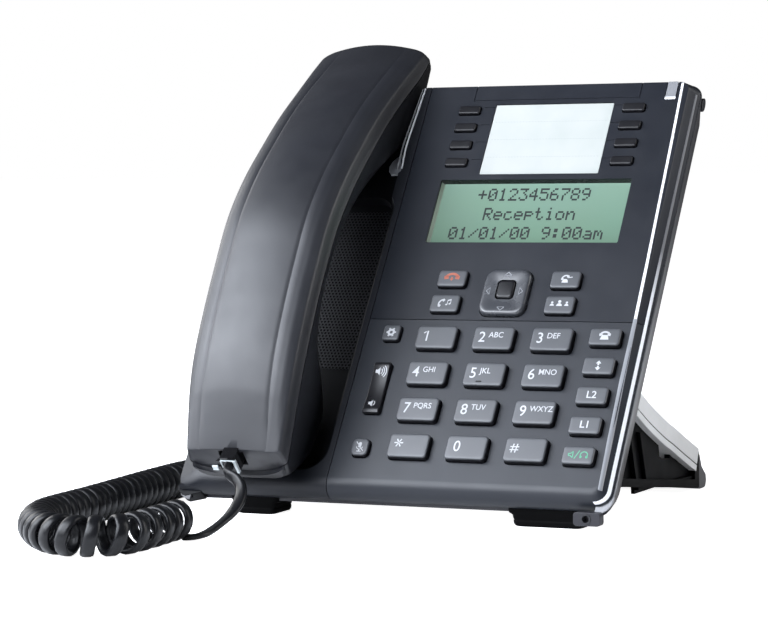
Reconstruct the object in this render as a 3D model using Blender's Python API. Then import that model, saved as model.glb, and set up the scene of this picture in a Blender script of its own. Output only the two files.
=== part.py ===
"""Desk IP phone with a corded handset, built as separate sub-parts.

Two frames hold the design, both in millimetres inside this script:

* panel frame: X across the phone, Y up the sloping front panel, Z out of it.
  Its origin is where the front panel would meet a plane 8 mm above the desk.
* desk frame: X across, Y to the back, Z up, with Z = 0 on the desk.
"""

from math import cos, pi, radians, sin, tan

import bmesh
import bpy
from mathutils import Vector

MM = 0.001
GAP = 0.3

# Driving dimensions.
TILT = radians(55.3)
PANEL_Y = -62.066
PANEL_Z = 8.0
BODY_HALF = 90.2
BODY_TOP = 190.2
CHIN_R = 6.0
CHIN_Z = 6.9
BASE_Z = 5.5
PLATE = 2.4
FRONT_RIM = -3.8
BACK_RIM = -5.2
BACK_W = -18.0
HUMP_W = -25.0
CRADLE_SEAM = -24.7
PANEL_SEAM = 79.9

KEY_PITCH_U = 23.85
KEY_PITCH_V = 15.75

HANDSET_U = -53.4
EAR_FLOOR = -12.0
CRADLE_FLOOR = -8.0

STAND_OUT = 80.0
COIL_OD = 14.0

CHARCOAL = (0.022, 0.024, 0.030)
PANEL_GREY = (0.040, 0.044, 0.055)
KEY_GREY = (0.035, 0.038, 0.046)


def clear_scene():
    for obj in list(bpy.data.objects):
        bpy.data.objects.remove(obj, do_unlink=True)


def frame_empty(name, location, tilt=0.0, parent=None):
    """An empty that stands for a frame or a joint axis."""
    empty = bpy.data.objects.new(name, None)
    empty.empty_display_size = 0.02
    empty.location = [c * MM for c in location]
    empty.rotation_euler = (tilt, 0.0, 0.0)
    empty.parent = parent
    bpy.context.collection.objects.link(empty)
    return empty


def finish_material(name, colour, roughness, metallic=0.0):
    mat = bpy.data.materials.new(name + "_finish")
    mat.use_nodes = True
    shader = mat.node_tree.nodes["Principled BSDF"]
    shader.inputs["Base Color"].default_value = (*colour, 1.0)
    shader.inputs["Roughness"].default_value = roughness
    shader.inputs["Metallic"].default_value = metallic
    mat.diffuse_color = (*colour, 1.0)
    return mat


def solid(name, loops, parent, finish, origin=(0, 0, 0)):
    """One closed body lofted through loops of points, given in the parent's frame."""
    bm = bmesh.new()
    rows = []
    for loop in loops:
        rows.append([bm.verts.new([(p[i] - origin[i]) * MM for i in range(3)]) for p in loop])
    count = len(rows[0])
    for low, high in zip(rows, rows[1:]):
        for i in range(count):
            j = (i + 1) % count
            bm.faces.new((low[i], low[j], high[j], high[i]))
    bm.faces.new(rows[0][::-1])
    bm.faces.new(rows[-1])
    bmesh.ops.recalc_face_normals(bm, faces=bm.faces)
    if bm.calc_volume(signed=True) < 0:
        bmesh.ops.reverse_faces(bm, faces=bm.faces)
    return mesh_object(name, bm, parent, finish, origin)


def mesh_object(name, bm, parent, finish, origin=(0, 0, 0)):
    mesh = bpy.data.meshes.new(name)
    bm.to_mesh(mesh)
    bm.free()
    mesh.shade_smooth()
    mesh.set_sharp_from_angle(angle=radians(32))
    obj = bpy.data.objects.new(name, mesh)
    obj.parent = parent
    obj.location = [c * MM for c in origin]
    bpy.context.collection.objects.link(obj)
    if finish is None:
        obj.hide_render = True
        obj.display_type = "WIRE"
    else:
        obj.data.materials.append(finish_material(name, *finish))
    return obj


def combine(obj, tool, operation):
    """Keep a live EXACT Boolean of a hidden tool on an object."""
    mod = obj.modifiers.new(operation.lower() + "_" + tool.name, "BOOLEAN")
    mod.operation = operation
    mod.solver = "EXACT"
    mod.object = tool
    return obj


def guide(name, loops, parent):
    return solid(name, loops, parent, None)


def cut(obj, *tools):
    for tool in tools:
        combine(obj, tool, "DIFFERENCE")


def join(obj, *tools):
    for tool in tools:
        combine(obj, tool, "UNION")


def rounded(x0, x1, y0, y1, radius, steps=3):
    """A rectangle with round corners, as (x, y) points, anticlockwise."""
    points = []
    corners = (
        (x1 - radius, y1 - radius, 0.0),
        (x0 + radius, y1 - radius, 90.0),
        (x0 + radius, y0 + radius, 180.0),
        (x1 - radius, y0 + radius, 270.0),
    )
    for cx, cy, start in corners:
        for k in range(steps + 1):
            angle = radians(start + 90.0 * k / steps)
            points.append((cx + radius * cos(angle), cy + radius * sin(angle)))
    return points


def about(cx, cy, wide, high, radius, steps=3):
    return rounded(cx - wide / 2, cx + wide / 2, cy - high / 2, cy + high / 2, radius, steps)


def level(outline, w):
    """An outline in X and Y at one height."""
    return [(x, y, w) for x, y in outline]


def slab(outline, low, high):
    return [level(outline, low), level(outline, high)]


def across(profile, x0, x1):
    """A (y, z) profile extruded along X."""
    return [[(x0, y, z) for y, z in profile], [(x1, y, z) for y, z in profile]]


def circle(cx, cy, radius, sides):
    return [
        (cx + radius * cos(2 * pi * k / sides), cy + radius * sin(2 * pi * k / sides))
        for k in range(sides)
    ]


def smooth_at(points, x):
    """A smooth curve through (x, y) points, read at x."""
    xs = [p[0] for p in points]
    ys = [p[1] for p in points]
    if x <= xs[0]:
        return ys[0]
    if x >= xs[-1]:
        return ys[-1]
    i = max(k for k in range(len(xs) - 1) if xs[k] <= x)

    def slope(k):
        a = max(k - 1, 0)
        b = min(k + 1, len(xs) - 1)
        return (ys[b] - ys[a]) / (xs[b] - xs[a])

    span = xs[i + 1] - xs[i]
    t = (x - xs[i]) / span
    rise = (
        (2 * t**3 - 3 * t**2 + 1) * ys[i]
        + (t**3 - 2 * t**2 + t) * span * slope(i)
        + (3 * t**2 - 2 * t**3) * ys[i + 1]
        + (t**3 - t**2) * span * slope(i + 1)
    )
    return rise


def smooth_route(points, spacing):
    """Points about a spacing apart on a smooth curve through a route's own points."""
    route = [Vector(p) for p in points]
    dense = []
    for i in range(len(route) - 1):
        before = route[max(i - 1, 0)]
        after = route[min(i + 2, len(route) - 1)]
        for k in range(24):
            t = k / 24
            a = route[i + 1] - before
            b = after - route[i]
            dense.append(
                (2 * t**3 - 3 * t**2 + 1) * route[i]
                + (t**3 - 2 * t**2 + t) * a / 2
                + (3 * t**2 - 2 * t**3) * route[i + 1]
                + (t**3 - t**2) * b / 2
            )
    dense.append(route[-1])
    total = sum((q - p).length for p, q in zip(dense, dense[1:]))
    count = max(2, round(total / spacing))
    step = total / count
    result = [dense[0]]
    walked = 0.0
    for p, q in zip(dense, dense[1:]):
        walked += (q - p).length
        if walked >= step * len(result) and len(result) < count:
            result.append(q)
    result.append(dense[-1])
    return result


def tube(name, route, diameter, spacing, parent, finish, resolution):
    """A cord along a route: a poly curve with a round bevel and filled caps."""
    curve = bpy.data.curves.new(name, "CURVE")
    curve.dimensions = "3D"
    curve.bevel_depth = diameter / 2 * MM
    curve.bevel_resolution = resolution
    curve.use_fill_caps = True
    points = smooth_route(route, spacing)
    spline = curve.splines.new("POLY")
    spline.points.add(len(points) - 1)
    for spot, point in zip(spline.points, points):
        spot.co = (point.x * MM, point.y * MM, point.z * MM, 1.0)
    obj = bpy.data.objects.new(name, curve)
    obj.parent = parent
    bpy.context.collection.objects.link(obj)
    curve.materials.append(finish_material(name, *finish))
    return obj


# ---------------------------------------------------------------- base shells

MATTE_PLASTIC = (CHARCOAL, 0.48)
PANEL_PLASTIC = (PANEL_GREY, 0.42)


def chin_point(angle, radius=CHIN_R):
    """A point (v, w) of the rounded lower edge, by the angle its face has turned."""
    corner_v = (CHIN_Z - PANEL_Z) / sin(TILT)
    centre_v = corner_v + CHIN_R * tan((pi - TILT) / 2)
    return centre_v - radius * sin(angle), -CHIN_R + radius * cos(angle)


def front_loop(w, left, right, bottom, top, radius):
    return level(rounded(left, right, bottom, top, radius, 4), w)


def front_blank(name):
    """The whole front shell, before it is divided into its three pieces."""
    loops = []
    steps = ((0.0, -81.0, 85.9, 189.6, 3.8), (22.5, -82.4, 86.4, 189.7, 4.0), (45.0, -85.6, 87.9, 189.9, 4.6))
    for turn, left, right, top, radius in steps:
        v, w = chin_point(radians(turn))
        loops.append(front_loop(w, left, right, v, top, radius))
    v_rim = chin_point(radians(68.5))[0]
    loops.append(front_loop(FRONT_RIM, -BODY_HALF, BODY_HALF, v_rim, BODY_TOP, 5.5))
    loops.append(front_loop(FRONT_RIM, -BODY_HALF + 2, BODY_HALF - 2, v_rim + 2, BODY_TOP - 2, 4.0))
    loops.append(front_loop(-PLATE - 0.3, -84.6, 86.2, v_rim + 3.4, BODY_TOP - 2.4, 3.6))
    return solid(name, loops, PANEL, PANEL_PLASTIC)


def chin_lip(name, left, right):
    """The lower edge that rolls under the front, down to the base."""
    turns = [radians(a) for a in (52.0, 68.5, 85.0, 104.0, 124.7)]
    outer = [chin_point(a) for a in turns]
    inner = [chin_point(a, CHIN_R - 2.0) for a in turns]
    return guide(name, across(outer + inner[::-1], left, right), PANEL)


def box(name, x0, x1, y0, y1, z0, z1, parent):
    return guide(name, slab([(x0, y0), (x1, y0), (x1, y1), (x0, y1)], z0, z1), parent)


def outside(obj, u0, u1, v0, v1):
    """Trim a front piece to its part of the panel."""
    far = 130.0
    tag = obj.name
    if u0 is not None:
        cut(obj, box(tag + "_trim_left", -far, u0, -far, 2 * far, -40, 20, PANEL))
    if u1 is not None:
        cut(obj, box(tag + "_trim_right", u1, far, -far, 2 * far, -40, 20, PANEL))
    if v0 is not None:
        cut(obj, box(tag + "_trim_low", -far, far, -far, v0, -40, 20, PANEL))
    if v1 is not None:
        cut(obj, box(tag + "_trim_high", -far, far, v1, 2 * far, -40, 20, PANEL))


def hole(name, outline, low=-6.0, high=3.0):
    return guide(name, slab(outline, low, high), PANEL)


# ---------------------------------------------------------------- keys

DIGITS = ("key_1", "key_2", "key_3", "key_4", "key_5", "key_6", "key_7", "key_8", "key_9")
DIGITS += ("key_star", "key_0", "key_hash")
SIDE_KEYS = ("key_directory", "key_scroll", "key_line_2", "key_line_1", "key_speaker")


def key_table():
    """Every push key: name, centre u and v, width, height, corner radius, how far it stands out."""
    rows = []
    for k, name in enumerate(DIGITS):
        u = 6.8 + KEY_PITCH_U * (k % 3)
        v = 70.75 - KEY_PITCH_V * (k // 3)
        rows.append((name, u, v, 16.4, 10.0, 1.5, 2.7))
    for k, name in enumerate(SIDE_KEYS):
        rows.append((name, 75.8, 72.2 - 12.55 * k, 12.3, 7.3, 1.2, 2.7))
    rows.append(("key_settings", -12.9, 72.8, 7.0, 6.8, 1.2, 2.1))
    rows.append(("key_mute", -13.4, 22.5, 7.0, 7.2, 2.0, 2.1))
    rows.append(("key_goodbye", 6.9, 97.6, 11.9, 7.3, 1.3, 2.1))
    rows.append(("key_redial", 6.5, 86.3, 11.9, 7.7, 1.3, 2.1))
    rows.append(("key_transfer", 54.3, 97.4, 11.9, 7.5, 1.3, 2.1))
    rows.append(("key_conference", 54.2, 86.2, 11.9, 7.7, 1.3, 2.1))
    for side, u in (("left", -5.0), ("right", 65.3)):
        for k in range(4):
            rows.append(("line_key_%s_%d" % (side, k + 1), u, 177.5 - 8.35 * k, 9.2, 3.8, 0.9, 1.3))
    return rows


NAV = (30.9, 91.8, 18.2, 20.4, 4.0)
NAV_KEY = (30.6, 92.6, 6.9, 7.7, 1.4)
VOLUME = (-13.0, 48.4, 6.9, 21.8, 0.2)
KEY_PLASTIC = (KEY_GREY, 0.40)


def push_key(row):
    """A key that slides into the panel: a flange under the panel and a chamfered cap."""
    name, u, v, wide, high, radius, proud = row
    chamfer = 0.45 if proud < 1.5 else 0.75
    under = -PLATE - 0.65
    loops = [
        level(about(u, v, wide + 1.0, high + 1.0, radius, 2), under - 0.8),
        level(about(u, v, wide + 1.0, high + 1.0, radius, 2), under),
        level(about(u, v, wide, high, radius, 2), under),
        level(about(u, v, wide - 0.2, high - 0.2, radius, 2), proud - chamfer),
        level(about(u, v, wide - 2 * chamfer, high - 2 * chamfer, radius * 0.7, 2), proud),
    ]
    solid(name, loops, PANEL, KEY_PLASTIC, origin=(u, v, 0.0))


def key_opening(name, u, v, wide, high, radius):
    return hole(name + "_opening", about(u, v, wide + 0.7, high + 0.7, radius + 0.3, 2))


def make_rockers():
    u, v, wide, high, radius = NAV
    base = -PLATE - 1.0
    ring = solid(
        "nav_ring",
        [
            level(about(u, v, wide - 0.3, high - 0.3, radius, 3), base),
            level(about(u, v, wide, high, radius, 3), 0.6),
            level(about(u, v, wide - 2.2, high - 2.2, radius * 0.8, 3), 2.3),
        ],
        PANEL,
        ((0.018, 0.019, 0.023), 0.18),
        origin=(u, v, 0.0),
    )
    cu, cv, cwide, chigh, cradius = NAV_KEY
    cut(ring, hole("nav_ring_well", about(cu, cv, cwide + 1.0, chigh + 1.0, cradius, 2), -8, 6))
    loops = [
        level(about(cu, cv, cwide, chigh, cradius, 2), base - 0.4),
        level(about(cu, cv, cwide, chigh, cradius, 2), 1.9),
        level(about(cu, cv, cwide - 1.2, chigh - 1.2, cradius * 0.7, 2), 2.6),
    ]
    solid("nav_select", loops, PANEL, ((0.018, 0.019, 0.023), 0.2), origin=(cu, cv, 0.0))

    u, v, wide, high, radius = VOLUME
    profile = [(v - high / 2, base)]
    for k in range(9):
        t = -1 + k / 4
        profile.append((v + t * high / 2, 1.5 + 1.2 * t * t - (0.5 if abs(t) == 1 else 0.0)))
    profile.append((v + high / 2, base))
    solid("volume_rocker", across(profile, u - wide / 2, u + wide / 2), PANEL,
          ((0.018, 0.019, 0.023), 0.16), origin=(u, v, 0.0))


# ---------------------------------------------------------------- front pieces

LCD = (-9.8, 71.1, 115.2, 144.5)
LABEL = (5.7, 56.5, 147.0, 180.5)
LAMP = (77.0, 81.7, 181.2)


def make_display_panel(keys):
    panel = front_blank("display_panel")
    outside(panel, CRADLE_SEAM + GAP / 2, None, PANEL_SEAM + GAP / 2, None)
    cut(panel, hole("lcd_opening", rounded(*LCD, 0.6, 2)))
    cut(panel, hole("label_pocket", rounded(*LABEL, 0.6, 2), -1.3, 3.0))
    left, right, low = LAMP
    cut(panel, hole("lamp_slot", rounded(left, right, low, 199.0, 0.4, 2)))
    for name, u, v, wide, high, radius, _ in keys:
        if v > PANEL_SEAM:
            cut(panel, key_opening(name, u, v, wide, high, radius))
    cut(panel, key_opening("nav", *NAV))


def make_keypad_panel(keys):
    panel = front_blank("keypad_panel")
    join(panel, chin_lip("keypad_chin", CRADLE_SEAM - 2, 84.0))
    outside(panel, CRADLE_SEAM + GAP / 2, None, None, PANEL_SEAM - GAP / 2)
    for name, u, v, wide, high, radius, _ in keys:
        if v < PANEL_SEAM:
            cut(panel, key_opening(name, u, v, wide, high, radius))
    cut(panel, key_opening("volume", *VOLUME))


def pocket(name, left, right, low, high, radius, floor):
    """A cradle hollow, with a bevelled rim."""
    loops = [
        level(rounded(left, right, low, high, radius, 5), 6.0),
        level(rounded(left, right, low, high, radius, 5), 0.0),
        level(rounded(left + 1.6, right - 1.6, low + 1.6, high - 1.6, radius - 1.0, 5), -1.6),
        level(rounded(left + 2.2, right - 2.2, low + 2.2, high - 2.2, radius - 1.4, 5), floor),
    ]
    return guide(name, loops, PANEL)


def make_cradle():
    shell = front_blank("cradle_shell")
    join(shell, chin_lip("cradle_chin", -84.0, CRADLE_SEAM + 2))
    left = HANDSET_U - 26.4
    right = HANDSET_U + 26.2
    join(shell, box("cradle_tub", left - 1.5, right + 1.5, 11.4, 150.0, CRADLE_FLOOR - 2, -1.2, PANEL))
    join(shell, box("ear_tub", left - 1.5, right + 1.5, 143.0, BODY_TOP - 2.4, EAR_FLOOR - 2, -1.2, PANEL))
    join(shell, box("ear_sill", left - 1.5, right + 1.5, 180.0, BODY_TOP - 0.3, EAR_FLOOR - 2, -1.2, PANEL))
    outside(shell, None, CRADLE_SEAM - GAP / 2, None, None)
    cut(shell, pocket("grip_recess", left, right, 12.6, 140.0, 10.0, CRADLE_FLOOR))
    cut(shell, pocket("ear_cup", left, right, 146.5, 210.0, 7.0, EAR_FLOOR))
    cut(shell, box("cradle_bridge", left + 2.5, right - 2.5, 132.0, 156.0, -3.0, 6.0, PANEL))
    u = HANDSET_U
    cut(shell, box("hook_slot", u - 4.5, u + 4.5, 140.4, 145.6, -20.0, 5.0, PANEL))


def make_hook_switch():
    u = HANDSET_U
    profile = [(141.0, -15.6), (145.0, -15.6), (145.0, 3.2), (144.0, 5.0), (142.0, 5.8), (141.0, 5.0)]
    tongue = solid("hook_switch", across(profile, u - 4.0, u + 4.0), PANEL,
                   (CHARCOAL, 0.35), origin=(u, 143.0, 0.0))
    join(tongue, box("hook_arm", u - 3.6, u + 3.6, 130.0, 144.8, -15.6, -14.5, PANEL))


def make_edge_trim():
    """The silver line between the front and back shells; it passes inside the chin."""
    loops = slab(rounded(-90.5, 90.5, 1.6, 190.7, 6.0, 4), -4.9, -4.1)
    trim = solid("edge_trim", loops, PANEL, ((0.62, 0.64, 0.67), 0.28, 0.9))
    cut(trim, hole("trim_inside", rounded(-88.9, 88.9, 11.0, 189.1, 4.6, 4), -8, 0))
    cut(trim, box("trim_chin", -84.2, 84.2, -20.0, 8.8, -12.0, 4.0, PANEL))
    cut(trim, box("trim_cup", HANDSET_U - 28.4, HANDSET_U + 28.2, 180.0, 200.0, -12.0, 4.0, PANEL))


# ---------------------------------------------------------------- back cover

def base_v(w, height=BASE_Z):
    """Where a level plane crosses the panel frame, at a depth w."""
    return (height - PANEL_Z - w * cos(TILT)) / sin(TILT)


def back_loop(w, half, top, radius, height=BASE_Z, grow=0.0):
    return level(rounded(-half, half, base_v(w, height) + grow, top, radius, 4), w)


def make_back_cover():
    hump = rounded(-40.0, 70.0, 62.0, 166.0, 6.0, 4)
    hump_out = rounded(-36.0, 66.0, 66.0, 162.0, 5.0, 4)
    hump_in = rounded(-38.0, 68.0, 64.0, 164.0, 5.0, 4)
    hump_floor = rounded(-34.5, 64.5, 67.5, 160.5, 4.0, 4)
    inside = BACK_W + 2.0
    loops = [
        level(hump_out, HUMP_W),
        level(hump, BACK_W),
        back_loop(BACK_W, 85.2, 185.6, 7.0, grow=2.0),
        back_loop(BACK_W + 2.0, 87.2, 187.6, 8.0),
        back_loop(BACK_RIM, 90.2, BODY_TOP, 6.0),
        back_loop(BACK_RIM, 88.2, BODY_TOP - 2.0, 4.2, BASE_Z + 2.0),
        back_loop(inside, 84.6, 185.2, 6.0, BASE_Z + 2.0, 1.0),
        level(hump_in, inside),
        level(hump_floor, HUMP_W + 2.0),
    ]
    cover = solid("back_cover", loops, PANEL, MATTE_PLASTIC)
    cut(cover, box("chin_relief", -84.3, 84.3, -30.0, 11.3, -10.0, 40.0, DESK))
    cut(cover, box("cup_relief", HANDSET_U - 28.3, HANDSET_U + 28.1, 184.0, 200.0,
                   EAR_FLOOR - 2.3, 5.0, PANEL))
    for k, u in enumerate(PORT_U):
        cut(cover, hole("port_window_%d" % k, about(u, PORT_V, 12.8, 9.0, 0.5, 1), -30, -15))
    for k in range(7):
        v = 142.0 - 5.0 * k
        cut(cover, hole("vent_%d" % k, about(30.0, v, 52.0, 1.8, 0.6, 1), -30, -19))
    u, v = BASE_JACK
    join(cover, box("jack_boss", u - 6.0, u + 6.0, v - 6.5, v + 6.5, -17.0, -10.4, PANEL))
    cut(cover, box("jack_pocket", u - 3.45, u + 3.45, v - 4.2, v + 4.2, -25.0, -11.6, PANEL))


PORT_U = (-8.0, 8.0)
PORT_V = 84.0
BASE_JACK = (-66.0, 25.0)


def make_main_board():
    """The printed circuit board with its two network jacks, which face the back."""
    loops = slab(rounded(-21.5, 83.5, 12.0, 185.5, 2.0, 2), -8.8, -7.2)
    board = solid("main_board", loops, PANEL, ((0.02, 0.10, 0.05), 0.5))
    join(board, box("jack_block", -16.2, 16.2, PORT_V - 7.5, PORT_V + 7.5, -22.6, -8.0, PANEL))
    for k, u in enumerate(PORT_U):
        cut(board, hole("jack_mouth_%d" % k, about(u, PORT_V, 11.9, 8.2, 0.4, 1), -30, -11.0))


def make_inner_pieces():
    solid("key_mat", slab(rounded(-20.0, 83.0, 14.0, 104.0, 3.0, 2), -6.7, -5.7), PANEL,
          ((0.25, 0.25, 0.26), 0.7))
    left, right, low, high = LCD
    grow = 1.6
    pane = rounded(left - grow, right + grow, low - grow, high + grow, 0.8, 2)
    solid("lcd_window", slab(pane, -4.1, -3.1), PANEL, ((0.75, 0.82, 0.78), 0.05))
    solid("lcd_module", slab(rounded(left - 3, right + 3, low - 3, high + 3, 1.0, 2), -6.9, -4.4),
          PANEL, ((0.36, 0.50, 0.38), 0.4))
    left, right, low, high = LABEL
    solid("label_card", slab(rounded(left + 0.4, right - 0.4, low + 0.4, high - 0.4, 0.4, 1), -1.0, -0.35),
          PANEL, ((0.86, 0.87, 0.88), 0.6))
    left, right, low = LAMP
    solid("message_lamp", slab(rounded(left + GAP, right - GAP, low + GAP, 189.7, 0.3, 2), -3.6, 0.15),
          PANEL, ((0.62, 0.63, 0.65), 0.15))
    loops = [
        level(circle(-48.0, 96.0, 19.5, 28), -10.4),
        level(circle(-48.0, 96.0, 19.5, 28), -11.8),
        level(circle(-48.0, 96.0, 11.0, 28), -13.0),
        level(circle(-48.0, 96.0, 11.0, 28), -15.6),
    ]
    solid("loudspeaker", loops, PANEL, ((0.10, 0.10, 0.11), 0.4))


# ---------------------------------------------------------------- stand and feet

def back_plane(z, w):
    """Desk Y of a point of height z on the plane at depth w behind the panel."""
    v = (z - PANEL_Z - w * cos(TILT)) / sin(TILT)
    return v * cos(TILT) - w * sin(TILT)


def strip(points, thick):
    """A band under a polyline, as a closed (y, z) outline."""
    return points + [(y, z - thick) for y, z in reversed(points)]


LEGS = ((1, "right"), (-1, "left"))


def leg(name, profile, side, inner, outer):
    """A piece of one side leg, from its inner to its outer face."""
    return guide(name, across(profile, side * inner, side * outer), DESK)


def make_stand():
    seat = BACK_W - 0.4
    top = [(back_plane(52.0, seat), 52.0), (64.8, 45.3), (76.0, 39.4), (87.2, 34.2)]
    top += [(95.2, 30.7), (103.3, 27.6), (117.0, 21.9), (130.4, 16.6)]
    foot = [(131.0, 0.9), (86.0, 6.4), (42.5, 11.9), (back_plane(12.9, seat), 12.9)]
    frame = solid("stand_frame", across([(back_plane(z, seat), z) for z in (28.0, 46.0)]
                                        + [(back_plane(z, seat - 2.4), z) for z in (46.0, 28.0)],
                                        -77.0, 77.0), DESK, ((0.012, 0.012, 0.014), 0.35))
    bar = [(119.0, 2.7), (130.9, 1.2), (130.9, 13.6), (127.5, 13.6), (125.0, 6.0), (119.0, 6.0)]
    join(frame, guide("rear_bar", across(bar, -77.0, 77.0), DESK))
    for side, name in LEGS:
        join(frame, leg(name + "_web", top + foot, side, 75.0, 77.2))
    window = [(80.0, 16.0), (104.0, 15.0), (104.0, 24.6), (80.0, 25.6)]
    cut(frame, guide("cable_window", across(window, -90.0, 90.0), DESK))
    rib = [(54.6, 33.0), (57.0, 33.0), (64.4, 10.5), (62.0, 10.5)]
    post = [(126.0, 2.5), (131.0, 1.4), (131.0, 15.6), (126.0, 15.6)]
    ledge = [(y, z + 3.2) for y, z in foot[2::-1]] + foot[:3]
    for side, name in LEGS:
        join(frame, leg(name + "_bow", strip(top[1:], 9.2), side, 72.0, STAND_OUT))
        join(frame, leg(name + "_ledge", ledge, side, 72.0, STAND_OUT))
        join(frame, leg(name + "_rib", rib, side, 76.6, 79.2))
        join(frame, leg(name + "_post", post, side, 72.0, STAND_OUT))
    pad = [(131.4, 14.6), (133.4, 14.0), (135.9, 8.8), (140.6, 5.2), (141.2, 2.8)]
    pad += [(140.2, 0.6), (138.6, 0.0), (133.6, 0.0), (131.4, 0.5)]
    solid("rear_foot", across(pad, -79.4, 79.4), DESK, ((0.14, 0.14, 0.15), 0.7))


def make_front_feet():
    for name, low, high in (("front_foot_right", 49.6, 77.7), ("front_foot_left", -68.0, -49.6)):
        under = [(low, 10.5), (high, 10.5), (high, 26.0), (low, 26.0)]
        upper = [(low - 4.6, 11.6), (high + 4.6, 11.6), (high + 4.6, 27.6), (low - 4.6, 27.6)]
        solid(name, [level(under, 0.0), level(upper, BASE_Z - GAP)], DESK, ((0.012, 0.012, 0.013), 0.75))


# ---------------------------------------------------------------- handset

RIDGE = [(3.0, 23.6), (10.0, 26.3), (20.0, 29.8), (40.0, 35.4), (60.0, 38.3), (80.0, 39.9), (100.0, 40.4),
         (120.0, 37.4), (140.0, 31.6), (160.0, 24.6), (180.0, 15.6), (190.0, 10.7), (200.0, 5.6), (208.0, 1.2)]
HALF = [(3.0, 20.8), (10.0, 21.4), (20.0, 22.0), (40.0, 22.9), (80.0, 23.1), (110.0, 23.5), (150.0, 23.5),
        (200.0, 23.2)]
CROWN = [(3.0, 1.2), (10.0, 2.4), (30.0, 4.6), (60.0, 5.6), (170.0, 5.6), (192.0, 4.0), (206.0, 2.6)]
SIDE = [(3.0, 5.6), (14.0, 6.0), (50.0, 6.2), (188.0, 6.2), (206.0, 3.4)]
UNDER = [(2.7, 11.2), (8.0, 5.6), (14.0, 0.6), (22.0, -3.6), (36.0, -4.0), (46.0, 4.0), (56.0, 17.0),
         (70.0, 24.0), (86.0, 26.0), (105.0, 25.0), (120.0, 20.5), (135.0, 13.0), (148.0, 5.0),
         (160.0, -3.0), (172.0, -9.5), (185.0, -11.0), (194.0, -8.8), (205.0, -4.0)]
EAR_END = 205.5
EAR_V = 180.5
FACE_V = 4.6
SHELL_GAP = 0.5
RIM_V = 2.9


def stations(first, last, count, corner, first_corner):
    """Stations along the handset: (v at its sides, how far its sides come in)."""
    rows = [(first, first_corner), (first + 0.4 * first_corner, 0.3 * first_corner)]
    start = first + 1.2 * first_corner
    rows += [(start, 0.0), (start + 2.5, 0.0), (start + 5.0, 0.0)]
    start += 8.0
    rows += [(start + (last - corner - start) * k / count, 0.0) for k in range(count + 1)]
    for turn in (30.0, 60.0, 85.0):
        rows.append((last - corner + corner * sin(radians(turn)), corner * (1 - cos(radians(turn)))))
    return rows


def handset_loop(v, inset, section):
    """One cross-section; each of its points is (fraction of half-width, extra u, w).

    The upper end bows out to a rounded tip, and the lower end leans back into a flat face.
    """
    full = smooth_at(HALF, v)
    half = full - inset
    bow = 2.6 * min(1.0, max(0.0, (v - 178.0) / 27.0)) ** 2
    lean = 0.27 * max(0.0, 1 - (v - FACE_V) / 22.0)
    loop = []
    for part, extra, w in section(v):
        u = part * half + extra
        run = bow * max(0.0, 1 - (u / full) ** 2)
        loop.append((HANDSET_U + u, v + run + lean * max(0.0, w - 16.5), w))
    return loop


def seam_height(v, part):
    """The joint between the two shells; across the lower end it sags into a D shape."""
    sag = 4.8 * min(1.0, max(0.0, 1 - (v - FACE_V) / 12.0))
    return smooth_at(RIDGE, v) - smooth_at(SIDE, v) - sag * (1 - abs(part) ** 3)


def seam_row(v, drop):
    return [(part, 0.0, seam_height(v, part) - drop) for part in (-0.85, -0.5, 0.0, 0.5, 0.85)]


def top_section(v):
    ridge = smooth_at(RIDGE, v)
    crown = smooth_at(CROWN, v)
    seam = seam_height(v, 1.0)
    row = [(1.0, 0.0, seam), (1.0, -0.9, ridge - 0.9), (1.0, -1.9, ridge + 0.2)]
    for part in (0.72, 0.45, 0.2, 0.0, -0.2, -0.45, -0.72):
        row.append((part, 0.0, ridge + crown * (1 - part * part)))
    row += [(-1.0, 1.9, ridge + 0.2), (-1.0, 0.9, ridge - 0.9), (-1.0, 0.0, seam)]
    return row + seam_row(v, 0.0)


def top_inside(v):
    ridge = smooth_at(RIDGE, v)
    crown = smooth_at(CROWN, v)
    low = seam_height(v, 0.0) - 4.0
    row = [(1.0, -2.2, low), (1.0, -3.2, ridge - 2.2)]
    for part in (0.6, 0.0, -0.6):
        row.append((part, 0.0, ridge - 2.4 + crown * (1 - part * part)))
    return row + [(-1.0, 3.2, ridge - 2.2), (-1.0, 2.2, low)]


def bottom_section(v):
    seam = seam_height(v, 1.0) - SHELL_GAP
    under = smooth_at(UNDER, v)
    deep = seam - under
    row = [(1.0, 0.0, seam), (1.0, -0.3, seam - 0.25 * deep), (1.0, -1.2, seam - 0.6 * deep)]
    row += [(1.0, -3.6, seam - 0.88 * deep), (0.62, 0.0, under), (0.0, 0.0, under), (-0.62, 0.0, under)]
    row += [(-1.0, 3.6, seam - 0.88 * deep), (-1.0, 1.2, seam - 0.6 * deep)]
    row += [(-1.0, 0.3, seam - 0.25 * deep), (-1.0, 0.0, seam)]
    return row + seam_row(v, SHELL_GAP)


def bottom_inside(v):
    seam = seam_height(v, 1.0) - SHELL_GAP
    under = smooth_at(UNDER, v)
    deep = seam - under
    row = [(1.0, -2.2, seam + 4.0), (1.0, -2.5, seam - 0.25 * deep), (1.0, -4.2, seam - 0.6 * deep)]
    row += [(0.6, 0.0, under + 2.2), (-0.6, 0.0, under + 2.2)]
    return row + [(-1.0, 4.2, seam - 0.6 * deep), (-1.0, 2.5, seam - 0.25 * deep), (-1.0, 2.2, seam + 4.0)]


FACE = Vector((0.0, 6.2, 22.4))
FACE_IN = Vector((0.0, 0.966, -0.26))
FACE_UP = Vector((0.0, 0.26, 0.966))


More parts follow.
